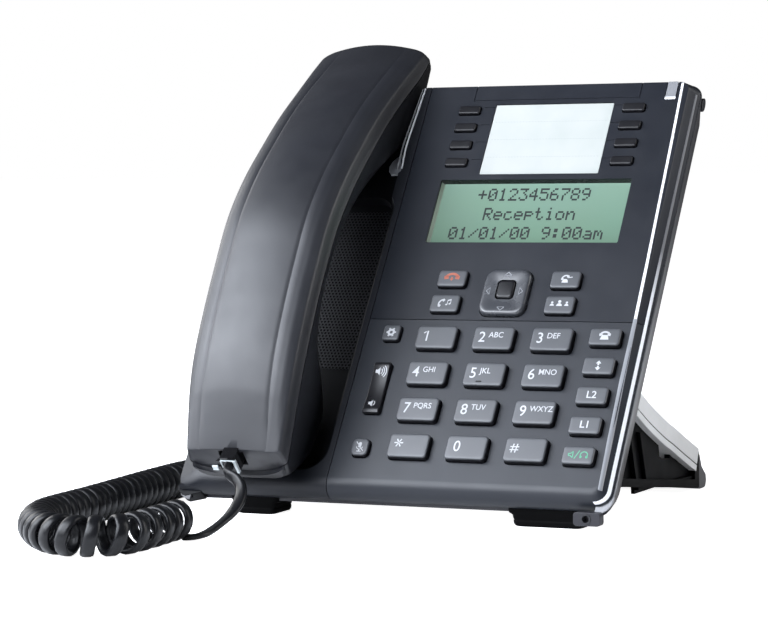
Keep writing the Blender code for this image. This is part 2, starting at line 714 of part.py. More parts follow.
def face_box(name, wide, high, near, far, make=guide, **finish):
    """A block square to the handset's lower end face, near and far along its inward axis."""
    loops = []
    for side in (-wide / 2, wide / 2):
        loop = []
        for along, up in ((near, -high / 2), (far, -high / 2), (far, high / 2), (near, high / 2)):
            point = FACE + FACE_IN * along + FACE_UP * up
            loop.append((HANDSET_U + side, point.y, point.z))
        loops.append(loop)
    return make(name, loops, PANEL, **finish)


def make_handset():
    origin = (HANDSET_U, 100.0, 20.0)
    along = stations(FACE_V, EAR_END, 24, 4.0, 1.6)
    loops = [handset_loop(v, i, top_section) for v, i in along]
    top = solid("handset_top_shell", loops, PANEL, MATTE_PLASTIC, origin)
    loops = [handset_loop(v, i, top_inside) for v, i in stations(13.0, EAR_END - 5.0, 18, 4.0, 0.5)]
    cut(top, guide("top_shell_hollow", loops, PANEL))
    join(top, face_box("plug_block", 12.0, 10.4, 2.0, 11.0))
    cut(top, face_box("plug_pocket", 6.8, 8.35, -6.0, 9.4))
    loops = [handset_loop(v, i, bottom_section) for v, i in [(RIM_V, 2.4)] + along]
    low = solid("handset_bottom_shell", loops, PANEL, MATTE_PLASTIC, origin)
    loops = [handset_loop(v, i, bottom_inside) for v, i in stations(17.0, 196.0, 18, 3.0, 0.5)]
    cut(low, guide("bottom_shell_hollow", loops, PANEL))
    cut(low, face_box("plug_block_relief", 12.7, 11.3, 3.0, 11.5))
    for k in range(7):
        angle = 2 * pi * k / 6
        reach = 0.0 if k == 6 else 5.0
        spot = circle(HANDSET_U + reach * cos(angle), EAR_V + reach * sin(angle), 1.1, 6)
        cut(low, guide("ear_hole_%d" % k, slab(spot, -20.0, -6.0), PANEL))
    cut(low, guide("mic_hole", slab(circle(HANDSET_U, 28.0, 1.0, 6), -12.0, -2.0), PANEL))
    solid("earpiece", slab(circle(HANDSET_U, EAR_V, 9.5, 24), -6.2, -2.2), PANEL,
          ((0.08, 0.08, 0.09), 0.4), origin)
    solid("microphone", slab(circle(HANDSET_U, 28.0, 4.8, 16), -1.2, 2.4), PANEL,
          ((0.30, 0.30, 0.31), 0.35), origin)


# ---------------------------------------------------------------- handset cord

PLUG = ((0.70, 0.72, 0.73), 0.1)
CORD = ((0.010, 0.010, 0.011), 0.38)


def make_plugs():
    handset_plug = face_box("handset_plug", 6.1, 7.65, -5.0, 8.4, make=solid, finish=PLUG)
    join(handset_plug, latch("handset_latch"))
    u, v = BASE_JACK
    outline = about(u, v, 6.1, 7.65, 0.3, 1)
    solid("base_plug", slab(outline, -23.6, -12.2), PANEL, PLUG)


def latch(name):
    """The plug's spring latch, on the side towards the outer edge of the phone."""
    loops = []
    for up in (-1.6, 1.6):
        loop = []
        for along, out in ((-4.6, -2.6), (-0.9, -2.6), (-0.9, -3.6), (-4.6, -5.6)):
            point = FACE + FACE_IN * along + FACE_UP * up
            loop.append((HANDSET_U + out, point.y, point.z))
        loops.append(loop)
    return guide(name, loops, PANEL)


LEAD_ROUTE = [(-53.4, -20.1, 21.4), (-53.4, -21.4, 20.3), (-51.0, -23.3, 19.5), (-47.4, -25.0, 18.2),
              (-44.2, -27.6, 16.2), (-42.2, -31.0, 13.4), (-41.4, -35.2, 10.3), (-41.8, -39.6, 7.4),
              (-43.0, -44.6, 4.8), (-43.8, -50.6, 2.9), (-43.9, -57.6, 2.3), (-44.6, -64.6, 2.3)]
COIL_ROUTE = [(-53.2, -56.0), (-52.4, -66.0), (-51.4, -84.3), (-52.2, -97.5), (-57.5, -104.4), (-66.7, -108.2),
              (-79.5, -104.0), (-93.2, -90.2), (-101.2, -74.0), (-103.4, -58.0), (-104.0, -40.7),
              (-105.3, -23.3), (-106.8, -5.4), (-108.6, 16.1), (-109.9, 43.6), (-107.6, 70.0)]
TAIL_ROUTE = [(-107.0, 72.6, 7.1), (-104.4, 80.0, 5.6), (-98.0, 88.4, 3.4), (-88.0, 90.0, 2.4),
              (-78.0, 86.0, 2.4), (-70.0, 77.0, 2.4), (-66.6, 65.0, 2.8), (-66.0, 53.0, 5.0),
              (-66.0, 44.0, 8.6), (-66.0, 37.0, 12.8), (-66.0, 33.95, 14.9)]


def make_cord():
    tube("cord_lead", LEAD_ROUTE, 3.4, 4.0, DESK, CORD, 2)
    coil = [(x, y, COIL_OD / 2 + 0.1) for x, y in COIL_ROUTE]
    tube("cord_coil", coil, COIL_OD, 14.0, DESK, CORD, 3)
    tube("cord_tail", TAIL_ROUTE, 3.4, 5.0, DESK, CORD, 2)


# ---------------------------------------------------------------- assembly

clear_scene()
PANEL = frame_empty("panel_frame", (0.0, PANEL_Y, PANEL_Z), TILT)
DESK = frame_empty("desk_frame", (0.0, PANEL_Y, 0.0))

KEYS = key_table()
make_display_panel(KEYS)
make_keypad_panel(KEYS)
make_cradle()
make_hook_switch()
make_edge_trim()
make_back_cover()
make_main_board()
make_inner_pieces()
for entry in KEYS:
    push_key(entry)
make_rockers()
make_stand()
make_front_feet()
make_handset()
make_plugs()
make_cord()
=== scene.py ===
"""Desk IP phone: the visual model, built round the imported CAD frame.

Lengths inside this script are in millimetres unless a name says otherwise.
panel(u, v, w) is a point on the sloping front: u across, v up the slope, w out of it.
"""
from math import cos, pi, radians, sin, sqrt

import bmesh
import bpy
from mathutils import Matrix, Vector


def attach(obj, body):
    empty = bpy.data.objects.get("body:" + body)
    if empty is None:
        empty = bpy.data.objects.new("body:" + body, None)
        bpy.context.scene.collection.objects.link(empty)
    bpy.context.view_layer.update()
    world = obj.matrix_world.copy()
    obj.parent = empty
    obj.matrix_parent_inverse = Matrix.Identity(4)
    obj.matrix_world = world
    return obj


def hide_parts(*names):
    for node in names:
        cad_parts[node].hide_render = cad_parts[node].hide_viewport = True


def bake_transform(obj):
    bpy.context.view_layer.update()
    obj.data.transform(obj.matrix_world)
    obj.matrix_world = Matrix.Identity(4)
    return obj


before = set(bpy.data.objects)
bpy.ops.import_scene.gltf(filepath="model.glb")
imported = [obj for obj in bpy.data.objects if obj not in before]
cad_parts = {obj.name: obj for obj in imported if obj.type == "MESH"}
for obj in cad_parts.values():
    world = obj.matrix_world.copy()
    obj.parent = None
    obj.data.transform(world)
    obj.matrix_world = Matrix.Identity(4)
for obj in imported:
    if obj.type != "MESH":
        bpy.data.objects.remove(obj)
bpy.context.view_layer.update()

MM = 0.001
TILT = radians(55.3)
PANEL_Y = -62.066
PANEL_Z = 8.0
SLOPE = Vector((0.0, cos(TILT), sin(TILT)))
OUT = Vector((0.0, -sin(TILT), cos(TILT)))


def panel(u, v, w):
    return Vector((u, PANEL_Y, PANEL_Z)) + SLOPE * v + OUT * w


def desk(x, y, z):
    return Vector((x, y + PANEL_Y, z))


# ---------------------------------------------------------------- camera

def make_camera():
    right = Vector((0.90206, 0.43124, -0.01814))
    down = Vector((0.01315, -0.06947, -0.99750))
    ahead = Vector((-0.43142, 0.89956, -0.06834))
    right.normalize()
    ahead = (ahead - right * ahead.dot(right)).normalized()
    up = right.cross(ahead)
    if up.dot(down) > 0:
        up = -up
    lens = bpy.data.cameras.new("camera")
    lens.lens = 134.69
    lens.sensor_width = 36.0
    lens.clip_end = 50.0
    camera = bpy.data.objects.new("camera", lens)
    spot = Vector((464.5, -962.0 + PANEL_Y, 150.6)) * MM
    camera.matrix_world = Matrix((
        (right.x, up.x, -ahead.x, spot.x),
        (right.y, up.y, -ahead.y, spot.y),
        (right.z, up.z, -ahead.z, spot.z),
        (0.0, 0.0, 0.0, 1.0),
    ))
    bpy.context.scene.collection.objects.link(camera)
    bpy.context.scene.camera = camera


make_camera()


# ---------------------------------------------------------------- materials

def new_material(name, colour, roughness, metallic=0.0, **sockets):
    mat = bpy.data.materials.new(name)
    mat.use_nodes = True
    shader = shader_of(mat)
    shader.inputs["Base Color"].default_value = (*colour, 1.0)
    shader.inputs["Roughness"].default_value = roughness
    shader.inputs["Metallic"].default_value = metallic
    for key, value in sockets.items():
        shader.inputs[key.replace("_", " ")].default_value = value
    mat.diffuse_color = (*colour, 1.0)
    return mat


def node(mat, kind, **settings):
    made = mat.node_tree.nodes.new(kind)
    for key, value in settings.items():
        if key in made.inputs:
            made.inputs[key].default_value = value
        else:
            setattr(made, key, value)
    return made


def wire(mat, source, output, target, name):
    mat.node_tree.links.new(source.outputs[output], target.inputs[name])


def shader_of(mat):
    return mat.node_tree.nodes["Principled BSDF"]


def place(mat):
    """Coordinates in metres that move with the piece."""
    return node(mat, "ShaderNodeTexCoord")


def map_range(mat, low, high, to_low=0.0, to_high=1.0):
    made = node(mat, "ShaderNodeMapRange")
    for key, value in (("From Min", low), ("From Max", high), ("To Min", to_low), ("To Max", to_high)):
        made.inputs[key].default_value = value
    return made


def colour_ramp(mat, first, second, low=0.0, high=1.0):
    made = node(mat, "ShaderNodeValToRGB")
    for k, (position, colour) in enumerate(((low, first), (high, second))):
        made.color_ramp.elements[k].position = position
        made.color_ramp.elements[k].color = (*colour, 1.0)
    return made


def vary_colour(mat, colour, other, scale):
    """Base colour drifts softly between two close colours."""
    noise = node(mat, "ShaderNodeTexNoise", Scale=scale, Detail=3.0)
    ramp = colour_ramp(mat, colour, other, 0.35, 0.65)
    wire(mat, place(mat), "Object", noise, "Vector")
    wire(mat, noise, "Fac", ramp, "Fac")
    wire(mat, ramp, "Color", shader_of(mat), "Base Color")


def vary_roughness(mat, low, high, scale):
    noise = node(mat, "ShaderNodeTexNoise", Scale=scale, Detail=4.0)
    spread = map_range(mat, 0.3, 0.7, low, high)
    wire(mat, place(mat), "Object", noise, "Vector")
    wire(mat, noise, "Fac", spread, "Value")
    wire(mat, spread, "Result", shader_of(mat), "Roughness")


def grain(mat, scale, height_mm, strength=1.0):
    """A fine moulded texture, as bump."""
    noise = node(mat, "ShaderNodeTexNoise", Scale=scale, Detail=2.0, Roughness=0.6)
    bump = node(mat, "ShaderNodeBump", Strength=strength, Distance=height_mm * MM)
    wire(mat, place(mat), "Object", noise, "Vector")
    wire(mat, noise, "Fac", bump, "Height")
    wire(mat, bump, "Normal", shader_of(mat), "Normal")


def moulded(name, colour, roughness, texture_mm=0.22, height=0.010, **sockets):
    """Moulded plastic: close colour drift, uneven sheen and a fine spark-eroded grain."""
    mat = new_material(name, colour, roughness, **sockets)
    lighter = tuple(c * 1.14 + 0.001 for c in colour)
    vary_colour(mat, colour, lighter, 38.0)
    vary_roughness(mat, roughness - 0.03, roughness + 0.04, 90.0)
    grain(mat, 1000.0 / texture_mm, height)
    return mat


SHELL = moulded("charcoal_shell", (0.0095, 0.0105, 0.0145), 0.45, 0.30, 0.015, Specular_IOR_Level=0.68)
CRADLE = moulded("cradle_plastic", (0.0080, 0.0092, 0.0130), 0.40, 0.30, 0.014, Specular_IOR_Level=0.38)
FACE = moulded("panel_face", (0.0085, 0.0104, 0.0158), 0.38, 0.30, 0.015, Specular_IOR_Level=0.40)
LOW_FACE = moulded("keypad_face", (0.0120, 0.0145, 0.0205), 0.40, 0.30, 0.015, Specular_IOR_Level=0.47)
# Painted shade: a deeper black for the recess under the handset and the lower left corner.
RECESS_SHADE = moulded("recess_painted_shade", (0.0018, 0.0020, 0.0028), 0.45, 0.30, 0.009, Specular_IOR_Level=0.12)
KEYS = moulded("key_cap", (0.056, 0.060, 0.068), 0.37, 0.16, 0.004, Specular_IOR_Level=0.75)
# Black of the line keys and other dark keys; also painted shade on the lower sides of the grey keys.
DARK_KEYS_AND_SIDE_SHADE = moulded("line_key_cap", (0.007, 0.007, 0.009), 0.30, 0.16, 0.003)
GLOSS = moulded("gloss_black", (0.040, 0.043, 0.050), 0.27, 0.5, 0.001, Specular_IOR_Level=0.95)
# Black for the stand's dark joints and the cutters, also painted shade in the plug's notch.
JOINT_AND_SHADE_BLACK = moulded("joint_and_shade_black", (0.003, 0.003, 0.004), 0.6, 0.30, 0.008)
STAND_BLACK = moulded("stand_black", (0.0012, 0.0012, 0.0018), 0.42, 0.4, 0.004, Specular_IOR_Level=0.05)
GRILLE = moulded("grille_skin", (0.0070, 0.0076, 0.0096), 0.42, 0.30, 0.009, Specular_IOR_Level=0.32)
# Painted highlight for the cup rim's second line.
SILVER_HIGHLIGHT = moulded("silver_painted_highlight", (0.55, 0.56, 0.59), 0.34, 0.10, 0.002)
STAND_SILVER = moulded("stand_silver", (0.85, 0.86, 0.87), 0.36, 0.22, 0.004, Specular_IOR_Level=0.8)
# Grey painted highlight for the lower edge line and the cup's end pad.
GREY_HIGHLIGHT = moulded("grey_painted_highlight", (0.26, 0.27, 0.29), 0.3, 0.10, 0.002)
RUBBER = moulded("foot_rubber", (0.0015, 0.0015, 0.0017), 0.55, 0.35, 0.015, Specular_IOR_Level=0.05)
GREY_RUBBER = moulded("rear_foot_rubber", (0.13, 0.13, 0.14), 0.62, 0.35, 0.012)
CORD = moulded("cord_jacket", (0.0035, 0.0038, 0.0050), 0.33, 0.6, 0.003, Specular_IOR_Level=0.32)
INK = moulded("white_ink", (0.50, 0.51, 0.53), 0.5, 0.12, 0.002)
RED_INK = moulded("red_ink", (0.36, 0.10, 0.06), 0.5, 0.12, 0.002)
GREEN_INK = moulded("green_ink", (0.08, 0.38, 0.22), 0.5, 0.12, 0.002)
GREY_INK = moulded("grey_ink", (0.26, 0.27, 0.29), 0.5, 0.12, 0.002)
LENS = moulded("lamp_lens", (0.24, 0.245, 0.26), 0.22, 0.30, 0.006)
BOARD = moulded("circuit_board", (0.02, 0.10, 0.05), 0.45, 0.6, 0.01)
SILICONE = moulded("key_silicone", (0.25, 0.25, 0.26), 0.7, 0.4, 0.01)
BASKET = moulded("speaker_basket", (0.09, 0.09, 0.10), 0.4, 0.4, 0.01, Metallic=0.6)
# Painted shade seen through the grille's holes.
HOLE_SHADE_BLACK = moulded("hole_painted_shade", (0.001, 0.001, 0.0012), 0.6, 0.4, 0.006, Specular_IOR_Level=0.04)
# White painted highlight for the upper edge line, the cup rim's first line and the lamp's lower edge.
WHITE_HIGHLIGHT = moulded("white_painted_highlight", (0.86, 0.87, 0.90), 0.25, 0.20, 0.001)


def painted_highlight(name, dim, bright, heights, across_range):
    """Painted highlight: bright on the right up to a height, and duller above it and to the left."""
    mat = moulded(name, dim, 0.30, 0.20, 0.002)
    split = node(mat, "ShaderNodeSeparateXYZ")
    rise = map_range(mat, *heights, 1.0, 0.16)
    across = map_range(mat, *across_range, 0.05)
    highlight_mask = node(mat, "ShaderNodeMath", operation="MULTIPLY")
    ramp = colour_ramp(mat, dim, bright)
    wire(mat, place(mat), "Object", split, "Vector")
    wire(mat, split, "Z", rise, "Value")
    wire(mat, split, "X", across, "Value")
    wire(mat, rise, "Result", highlight_mask, 0)
    wire(mat, across, "Result", highlight_mask, 1)
    wire(mat, highlight_mask, "Value", ramp, "Fac")
    wire(mat, ramp, "Color", shader_of(mat), "Base Color")
    return mat


# Painted highlights: the trim, the outer edge line and the back cover's right side are lighter low on the
# right, darker above and to the left.
TRIM_HIGHLIGHT = painted_highlight("painted_highlight", (0.02, 0.02, 0.024), (0.30, 0.305, 0.32), (0.050, 0.090), (-0.07, 0.07))
LINE_HIGHLIGHT = painted_highlight("line_highlight", (0.02, 0.02, 0.024), (0.86, 0.87, 0.90), (0.078, 0.100), (-0.07, 0.07))
BACK_HIGHLIGHT = painted_highlight("back_cover", (0.024, 0.024, 0.030), (0.10, 0.101, 0.108), (0.080, 0.125), (0.0884, 0.0894))


def paint_under_shade():
    """The handset's lower shell, with painted shade: as its top near the seam, darker and with less sheen
    lower down, where it sinks into the recess.
    """
    mat = moulded("handset_under_shade", (0.0095, 0.0105, 0.0145), 0.42, 0.30, 0.015)
    height = node(mat, "ShaderNodeVectorMath", operation="DOT_PRODUCT")
    height.inputs[1].default_value = OUT
    base = panel(0.0, 0.0, 0.0).dot(OUT)
    fade = map_range(mat, (base + 6.0) * MM, (base + 22.0) * MM)
    ramp = colour_ramp(mat, (0.0016, 0.0018, 0.0026), (0.0100, 0.0110, 0.0150))
    sheen = node(mat, "ShaderNodeMath", operation="MULTIPLY_ADD")
    sheen.inputs[1].default_value = 0.62
    sheen.inputs[2].default_value = 0.10
    wire(mat, place(mat), "Object", height, 0)
    wire(mat, height, "Value", fade, "Value")
    wire(mat, fade, "Result", ramp, "Fac")
    wire(mat, fade, "Result", sheen, 0)
    wire(mat, ramp, "Color", shader_of(mat), "Base Color")
    wire(mat, sheen, "Value", shader_of(mat), "Specular IOR Level")
    return mat


UNDER_SHELL_SHADE = paint_under_shade()


def clear_plastic(name, colour):
    mat = new_material(name, colour, 0.06, Transmission_Weight=0.85, IOR=1.5)
    vary_roughness(mat, 0.04, 0.10, 300.0)
    grain(mat, 900.0, 0.01, 0.4)
    return mat


CLEAR = clear_plastic("clear_plug", (0.92, 0.94, 0.95))
SMOKE = moulded("plug_core", (0.006, 0.006, 0.007), 0.12, 0.5, 0.001)


def label_paper():
    mat = new_material("label_sheet", (0.47, 0.50, 0.48), 0.35)
    vary_colour(mat, (0.455, 0.485, 0.465), (0.50, 0.52, 0.50), 60.0)
    grain(mat, 2600.0, 0.004, 0.6)
    return mat


PAPER = label_paper()


def lcd_green():
    """The display's reflective layer: green, lighter towards the top as a painted reflection, with a faint
    noise mottling.
    """
    mat = new_material("display_green", (0.27, 0.42, 0.33), 0.30)
    coords = place(mat)
    split = node(mat, "ShaderNodeSeparateXYZ")
    fade = map_range(mat, (panel(0, 115, 0) * MM).z, (panel(0, 145, 0) * MM).z)
    ramp = colour_ramp(mat, (0.125, 0.215, 0.150), (0.190, 0.300, 0.232))
    noise = node(mat, "ShaderNodeTexNoise", Scale=30.0, Detail=2.0)
    mix = node(mat, "ShaderNodeMix", data_type="RGBA", blend_type="MULTIPLY")
    mix.inputs[0].default_value = 0.12
    wire(mat, coords, "Object", split, "Vector")
    wire(mat, split, "Z", fade, "Value")
    wire(mat, fade, "Result", ramp, "Fac")
    wire(mat, coords, "Object", noise, "Vector")
    wire(mat, ramp, "Color", mix, 6)
    wire(mat, noise, "Color", mix, 7)
    wire(mat, mix, 2, shader_of(mat), "Base Color")
    grain(mat, 1500.0, 0.003, 0.5)
    return mat


LCD_GREEN = lcd_green()


# ---------------------------------------------------------------- mesh helpers

def start_mesh(name, verts, faces):
    mesh = bpy.data.meshes.new(name)
    mesh.from_pydata([tuple(Vector(p) * MM) for p in verts], [], faces)
    bm = bmesh.new()
    bm.from_mesh(mesh)
    bmesh.ops.remove_doubles(bm, verts=bm.verts, dist=1e-7)
    return mesh, bm


def build(name, verts, faces, mat, body, slot, nodes=(), angle=32.0, bevel=0.0, flat=False):
    """One piece from points in millimetres in the row frame."""
    mesh, bm = start_mesh(name, verts, faces)
    bmesh.ops.recalc_face_normals(bm, faces=bm.faces)
    if bm.calc_volume(signed=True) < 0:
        bmesh.ops.reverse_faces(bm, faces=bm.faces)
    bm.to_mesh(mesh)
    bm.free()
    return dress(name, mesh, mat, body, nodes, angle, bevel, flat)


def dress(name, mesh, mat, body, nodes=(), angle=32.0, bevel=0.0, flat=False):
    obj = bpy.data.objects.new(name, mesh)
    bpy.context.scene.collection.objects.link(obj)
    mesh.materials.clear()
    mesh.materials.append(mat)
    if not flat:
        mesh.shade_smooth()
        mesh.set_sharp_from_angle(angle=radians(angle))
    if bevel:
        round_edges(obj, bevel, angle)
    if body:
        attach(obj, body)
    if nodes:
        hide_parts(*nodes)
    return obj


def round_edges(obj, size, angle=32.0, segments=2):
    mod = obj.modifiers.new("round", "BEVEL")
    mod.width = size * MM
    mod.segments = segments
    mod.limit_method = "ANGLE"
    mod.angle_limit = radians(angle)
    mod.harden_normals = True
    mod.use_clamp_overlap = True


def loft_data(loops, caps=True):
    count = len(loops[0])
    verts = [p for loop in loops for p in loop]
    faces = []
    for k in range(len(loops) - 1):
        for i in range(count):
            j = (i + 1) % count
            faces.append((k * count + i, k * count + j, (k + 1) * count + j, (k + 1) * count + i))
    if caps:
        faces.append(tuple(range(count))[::-1])
        faces.append(tuple((len(loops) - 1) * count + i for i in range(count)))
    return verts, faces


def loft(name, loops, mat, body, slot, nodes=(), **more):
    verts, faces = loft_data(loops)
    return build(name, verts, faces, mat, body, slot, nodes, **more)


def tool(loops):
    """A closed cutter, removed after its cut is applied."""
    return loft("cutter", loops, JOINT_AND_SHADE_BLACK, None, None)


def apply_boolean(obj, others, operation="DIFFERENCE"):
    for other in others:
        mod = obj.modifiers.new("cut", "BOOLEAN")
        mod.operation = operation
        mod.solver = "EXACT"
        mod.object = other
    bpy.context.view_layer.update()
    done = bpy.data.meshes.new_from_object(obj.evaluated_get(bpy.context.evaluated_depsgraph_get()))
    obj.modifiers.clear()
    obj.data = done
    for other in others:
        bpy.data.objects.remove(other)
    return obj


def rounded(x0, x1, y0, y1, radius, steps=6):
    points = []
    corners = (
        (x1 - radius, y1 - radius, 0.0),
        (x0 + radius, y1 - radius, 90.0),
        (x0 + radius, y0 + radius, 180.0),
        (x1 - radius, y0 + radius, 270.0),
    )
    for cx, cy, start in corners:
        for k in range(steps + 1):
            angle = radians(start + 90.0 * k / steps)
            points.append((cx + radius * cos(angle), cy + radius * sin(angle)))
    return points


def about(cx, cy, wide, high, radius, steps=6):
    return rounded(cx - wide / 2, cx + wide / 2, cy - high / 2, cy + high / 2, radius, steps)


def at(outline, w):
    return [panel(u, v, w) for u, v in outline]


def circle(cx, cy, wide, count, high=None):
    """Points round a circle, or round an ellipse with a half height of its own."""
    high = wide if high is None else high
    return [(cx + wide * cos(2 * pi * k / count), cy + high * sin(2 * pi * k / count)) for k in range(count)]


def cubic_weights(t):
    """Weights of the start, its slope, the end and its slope along a cubic."""
    return 2 * t**3 - 3 * t**2 + 1, t**3 - 2 * t**2 + t, 3 * t**2 - 2 * t**3, t**3 - t**2


def smooth_at(points, x):
    xs = [p[0] for p in points]
    ys = [p[1] for p in points]
    if x <= xs[0]:
        return ys[0]
    if x >= xs[-1]:
        return ys[-1]
    i = max(k for k in range(len(xs) - 1) if xs[k] <= x)

    def slope(k):
        a = max(k - 1, 0)
        b = min(k + 1, len(xs) - 1)
        return (ys[b] - ys[a]) / (xs[b] - xs[a])

    span = xs[i + 1] - xs[i]
    start, leaving, end, arriving = cubic_weights((x - xs[i]) / span)
    return start * ys[i] + leaving * span * slope(i) + end * ys[i + 1] + arriving * span * slope(i + 1)


def smooth_line(points, spacing):
    """Evenly spaced points on a smooth curve through a route's points."""
    route = [Vector(p) for p in points]
    dense = []
    for i in range(len(route) - 1):
        before = route[max(i - 1, 0)]
        after = route[min(i + 2, len(route) - 1)]
        for k in range(24):
            start, leaving, end, arriving = cubic_weights(k / 24)
            dense.append(start * route[i] + leaving * (route[i + 1] - before) / 2
                         + end * route[i + 1] + arriving * (after - route[i]) / 2)
    dense.append(route[-1])
    reach = [0.0]
    for p, q in zip(dense, dense[1:]):
        reach.append(reach[-1] + (q - p).length)
    count = max(2, round(reach[-1] / spacing))
    result = []
    k = 0
    for n in range(count + 1):
        goal = reach[-1] * n / count
        while k < len(reach) - 2 and reach[k + 1] < goal:
            k += 1
        span = max(reach[k + 1] - reach[k], 1e-9)
        result.append(dense[k].lerp(dense[k + 1], min(1.0, (goal - reach[k]) / span)))
    return result


# ---------------------------------------------------------------- handset cord

STRAND_WIDE = 4.9
STRAND_THICK = 2.3
COIL_R = 7.45
COIL_AXIS = [(-52.8, -57.0), (-52.4, -66.0), (-51.4, -84.3), (-52.2, -97.5), (-57.5, -104.4), (-66.7, -108.2),
             (-79.5, -104.0), (-93.2, -90.2), (-101.2, -74.0), (-103.4, -58.0), (-104.0, -40.7),
             (-105.3, -23.3), (-106.8, -5.4), (-108.6, 16.1), (-109.9, 43.6), (-107.8, 68.0)]
LEAD_ROUTE = [(-53.4, -18.7, 22.6), (-53.4, -21.2, 20.5), (-51.0, -23.3, 19.5), (-47.4, -25.0, 18.2),
              (-44.2, -27.6, 16.2), (-42.2, -31.0, 13.4), (-41.4, -35.2, 10.3), (-41.8, -39.6, 7.4),
              (-43.0, -44.6, 4.8), (-43.8, -50.6, 2.9), (-44.4, -55.6, 1.9), (-46.4, -59.4, 1.4),
              (-50.0, -60.6, 1.3)]
TAIL_ROUTE = [(-104.4, 80.0, 5.6), (-98.0, 88.4, 3.4), (-88.0, 90.0, 2.4),
              (-78.0, 86.0, 2.4), (-70.0, 77.0, 2.4), (-66.6, 65.0, 2.8), (-66.0, 53.0, 5.0),
              (-66.0, 44.0, 8.6), (-66.0, 37.0, 12.8), (-66.0, 33.7, 15.0)]


def strand(name, path, flats):
    """A flat cord along its path; flats gives the direction of its width at each point."""
    sides = 12
    loops = []
    for i, point in enumerate(path):
        ahead = path[min(i + 1, len(path) - 1)] - path[max(i - 1, 0)]
        ahead.normalize()
        wide = flats[i] - ahead * flats[i].dot(ahead)
        wide.normalize()
        thin = ahead.cross(wide)
        loop = []
        for k in range(sides):
            angle = 2 * pi * k / sides
            a, b = cos(angle), sin(angle)
            swell = (abs(a) ** 3.2 + abs(b) ** 3.2) ** (-1 / 3.2)
            loop.append(point + wide * (a * swell * STRAND_WIDE / 2) + thin * (b * swell * STRAND_THICK / 2))
        loops.append(loop)
    return loft(name, loops, CORD, None, None, angle=60.0)


def coil_turns():
    """The helix: loose turns near the handset's lead and round the bend, close turns on the long run."""
    axis = smooth_line([(x, y, 0.0) for x, y in COIL_AXIS], 1.0)
    centre = [desk(p.x, p.y, COIL_R + 0.15) for p in axis]
    radius = COIL_R - STRAND_THICK / 2
    turn = 0.0
    path = []
    flats = []
    step = 1.0 / 18
    k = 0.0
    last = len(centre) - 1
    while k < last:
        i = int(k)
        spot = centre[i].lerp(centre[i + 1], k - i)
        ahead = centre[min(i + 3, last)] - centre[max(i - 3, 0)]
        ahead.normalize()
        side = ahead.cross(Vector((0, 0, 1))).normalized()
        up = side.cross(ahead)
        angle = 2 * pi * turn - pi / 2
        arm = side * cos(angle) + up * sin(angle)
        share = k / last
        wobble = 0.25 * sin(turn * 1.7) + 0.15 * sin(turn * 4.1)
        path.append(spot + arm * radius + ahead * wobble)
        flats.append(ahead.copy())
        if share < 0.20:
            pitch = 7.9 + 0.6 * sin(turn * 2.3)
        elif share < 0.36:
            pitch = 7.6 - 2.2 * (share - 0.20) / 0.16
        else:
            pitch = 5.15
        k += pitch * step
        turn += step
    return path, flats


def make_cord():
    handset_end = [desk(*p) for p in LEAD_ROUTE]
    lead = smooth_line(handset_end, 1.2)
    plug_up = SLOPE * 0.26 + OUT * 0.966
    flats = []
    for i in range(len(lead)):
        share = i / (len(lead) - 1)
        mid = Vector((0.80, 0.45, 0.35))
        lying = Vector((-0.35, -0.9, 0.0))
        if share < 0.45:
            flats.append(plug_up.lerp(mid, share / 0.45))
        else:
            t = (share - 0.45) / 0.55
            flats.append(mid.lerp(Vector((0.9, -0.25, 0.12)), min(1.0, t * 1.6)))
            if t > 0.7:
                flats[-1] = flats[-1].lerp(lying, (t - 0.7) / 0.3)
    lead_piece = strand("cord_lead_strand", lead, flats)

    path, flats = coil_turns()
    end = path[-1]
    way = [end, desk(-106.6, 74.6, 8.6)] + [desk(*p) for p in TAIL_ROUTE]
    tail = smooth_line(way, 1.5)[1:]
    plug_across = Vector((1.0, 0.0, 0.0))
    first = flats[-1]
    for i in range(len(tail)):
        share = i / (len(tail) - 1)
        ahead = (tail[min(i + 1, len(tail) - 1)] - tail[max(i - 1, 0)]).normalized()
        level = ahead.cross(Vector((0, 0, 1))).normalized()
        if level.dot(Vector((1.0, 0.0, 0.0))) < 0 and share > 0.6:
            level = -level
        want = level if share < 0.8 else level.lerp(plug_across, (share - 0.8) / 0.2)
        if share < 0.12:
            if first.dot(want) < 0:
                want = -want
            want = first.lerp(want, share / 0.12)
        if flats and flats[-1].dot(want) < 0:
            want = -want
        flats.append(want)
    path = path + tail
    coil = strand("cord_coil_strand", path, flats)
    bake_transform(lead_piece)
    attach(coil, "base")
    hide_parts("cord_lead")
    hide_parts("cord_coil", "cord_tail")


make_cord()


# ---------------------------------------------------------------- base shells

CHIN_R = 6.0
CHIN_V = 10.1
FRONT_RIM = -3.8
SEAM_U = -24.7
SEAM_V = 79.9
HANDSET_U = -53.4
LCD = (-9.8, 71.1, 115.2, 144.5)
LABEL = (5.7, 56.5, 147.0, 180.5)
LAMP = (77.0, 81.7, 181.2)
LINE_KEY_V = 177.5
LINE_KEY_PITCH = 8.35
BODY_HALF = 90.2
BODY_TOP = 190.2

DIGITS = (("key_1", "1", ""), ("key_2", "2", "ABC"), ("key_3", "3", "DEF"), ("key_4", "4", "GHI"),
          ("key_5", "5", "JKL"), ("key_6", "6", "MNO"), ("key_7", "7", "PQRS"), ("key_8", "8", "TUV"),
          ("key_9", "9", "WXYZ"), ("key_star", "*", ""), ("key_0", "0", ""), ("key_hash", "#", ""))
SIDE_KEYS = ("key_directory", "key_scroll", "key_line_2", "key_line_1", "key_speaker")


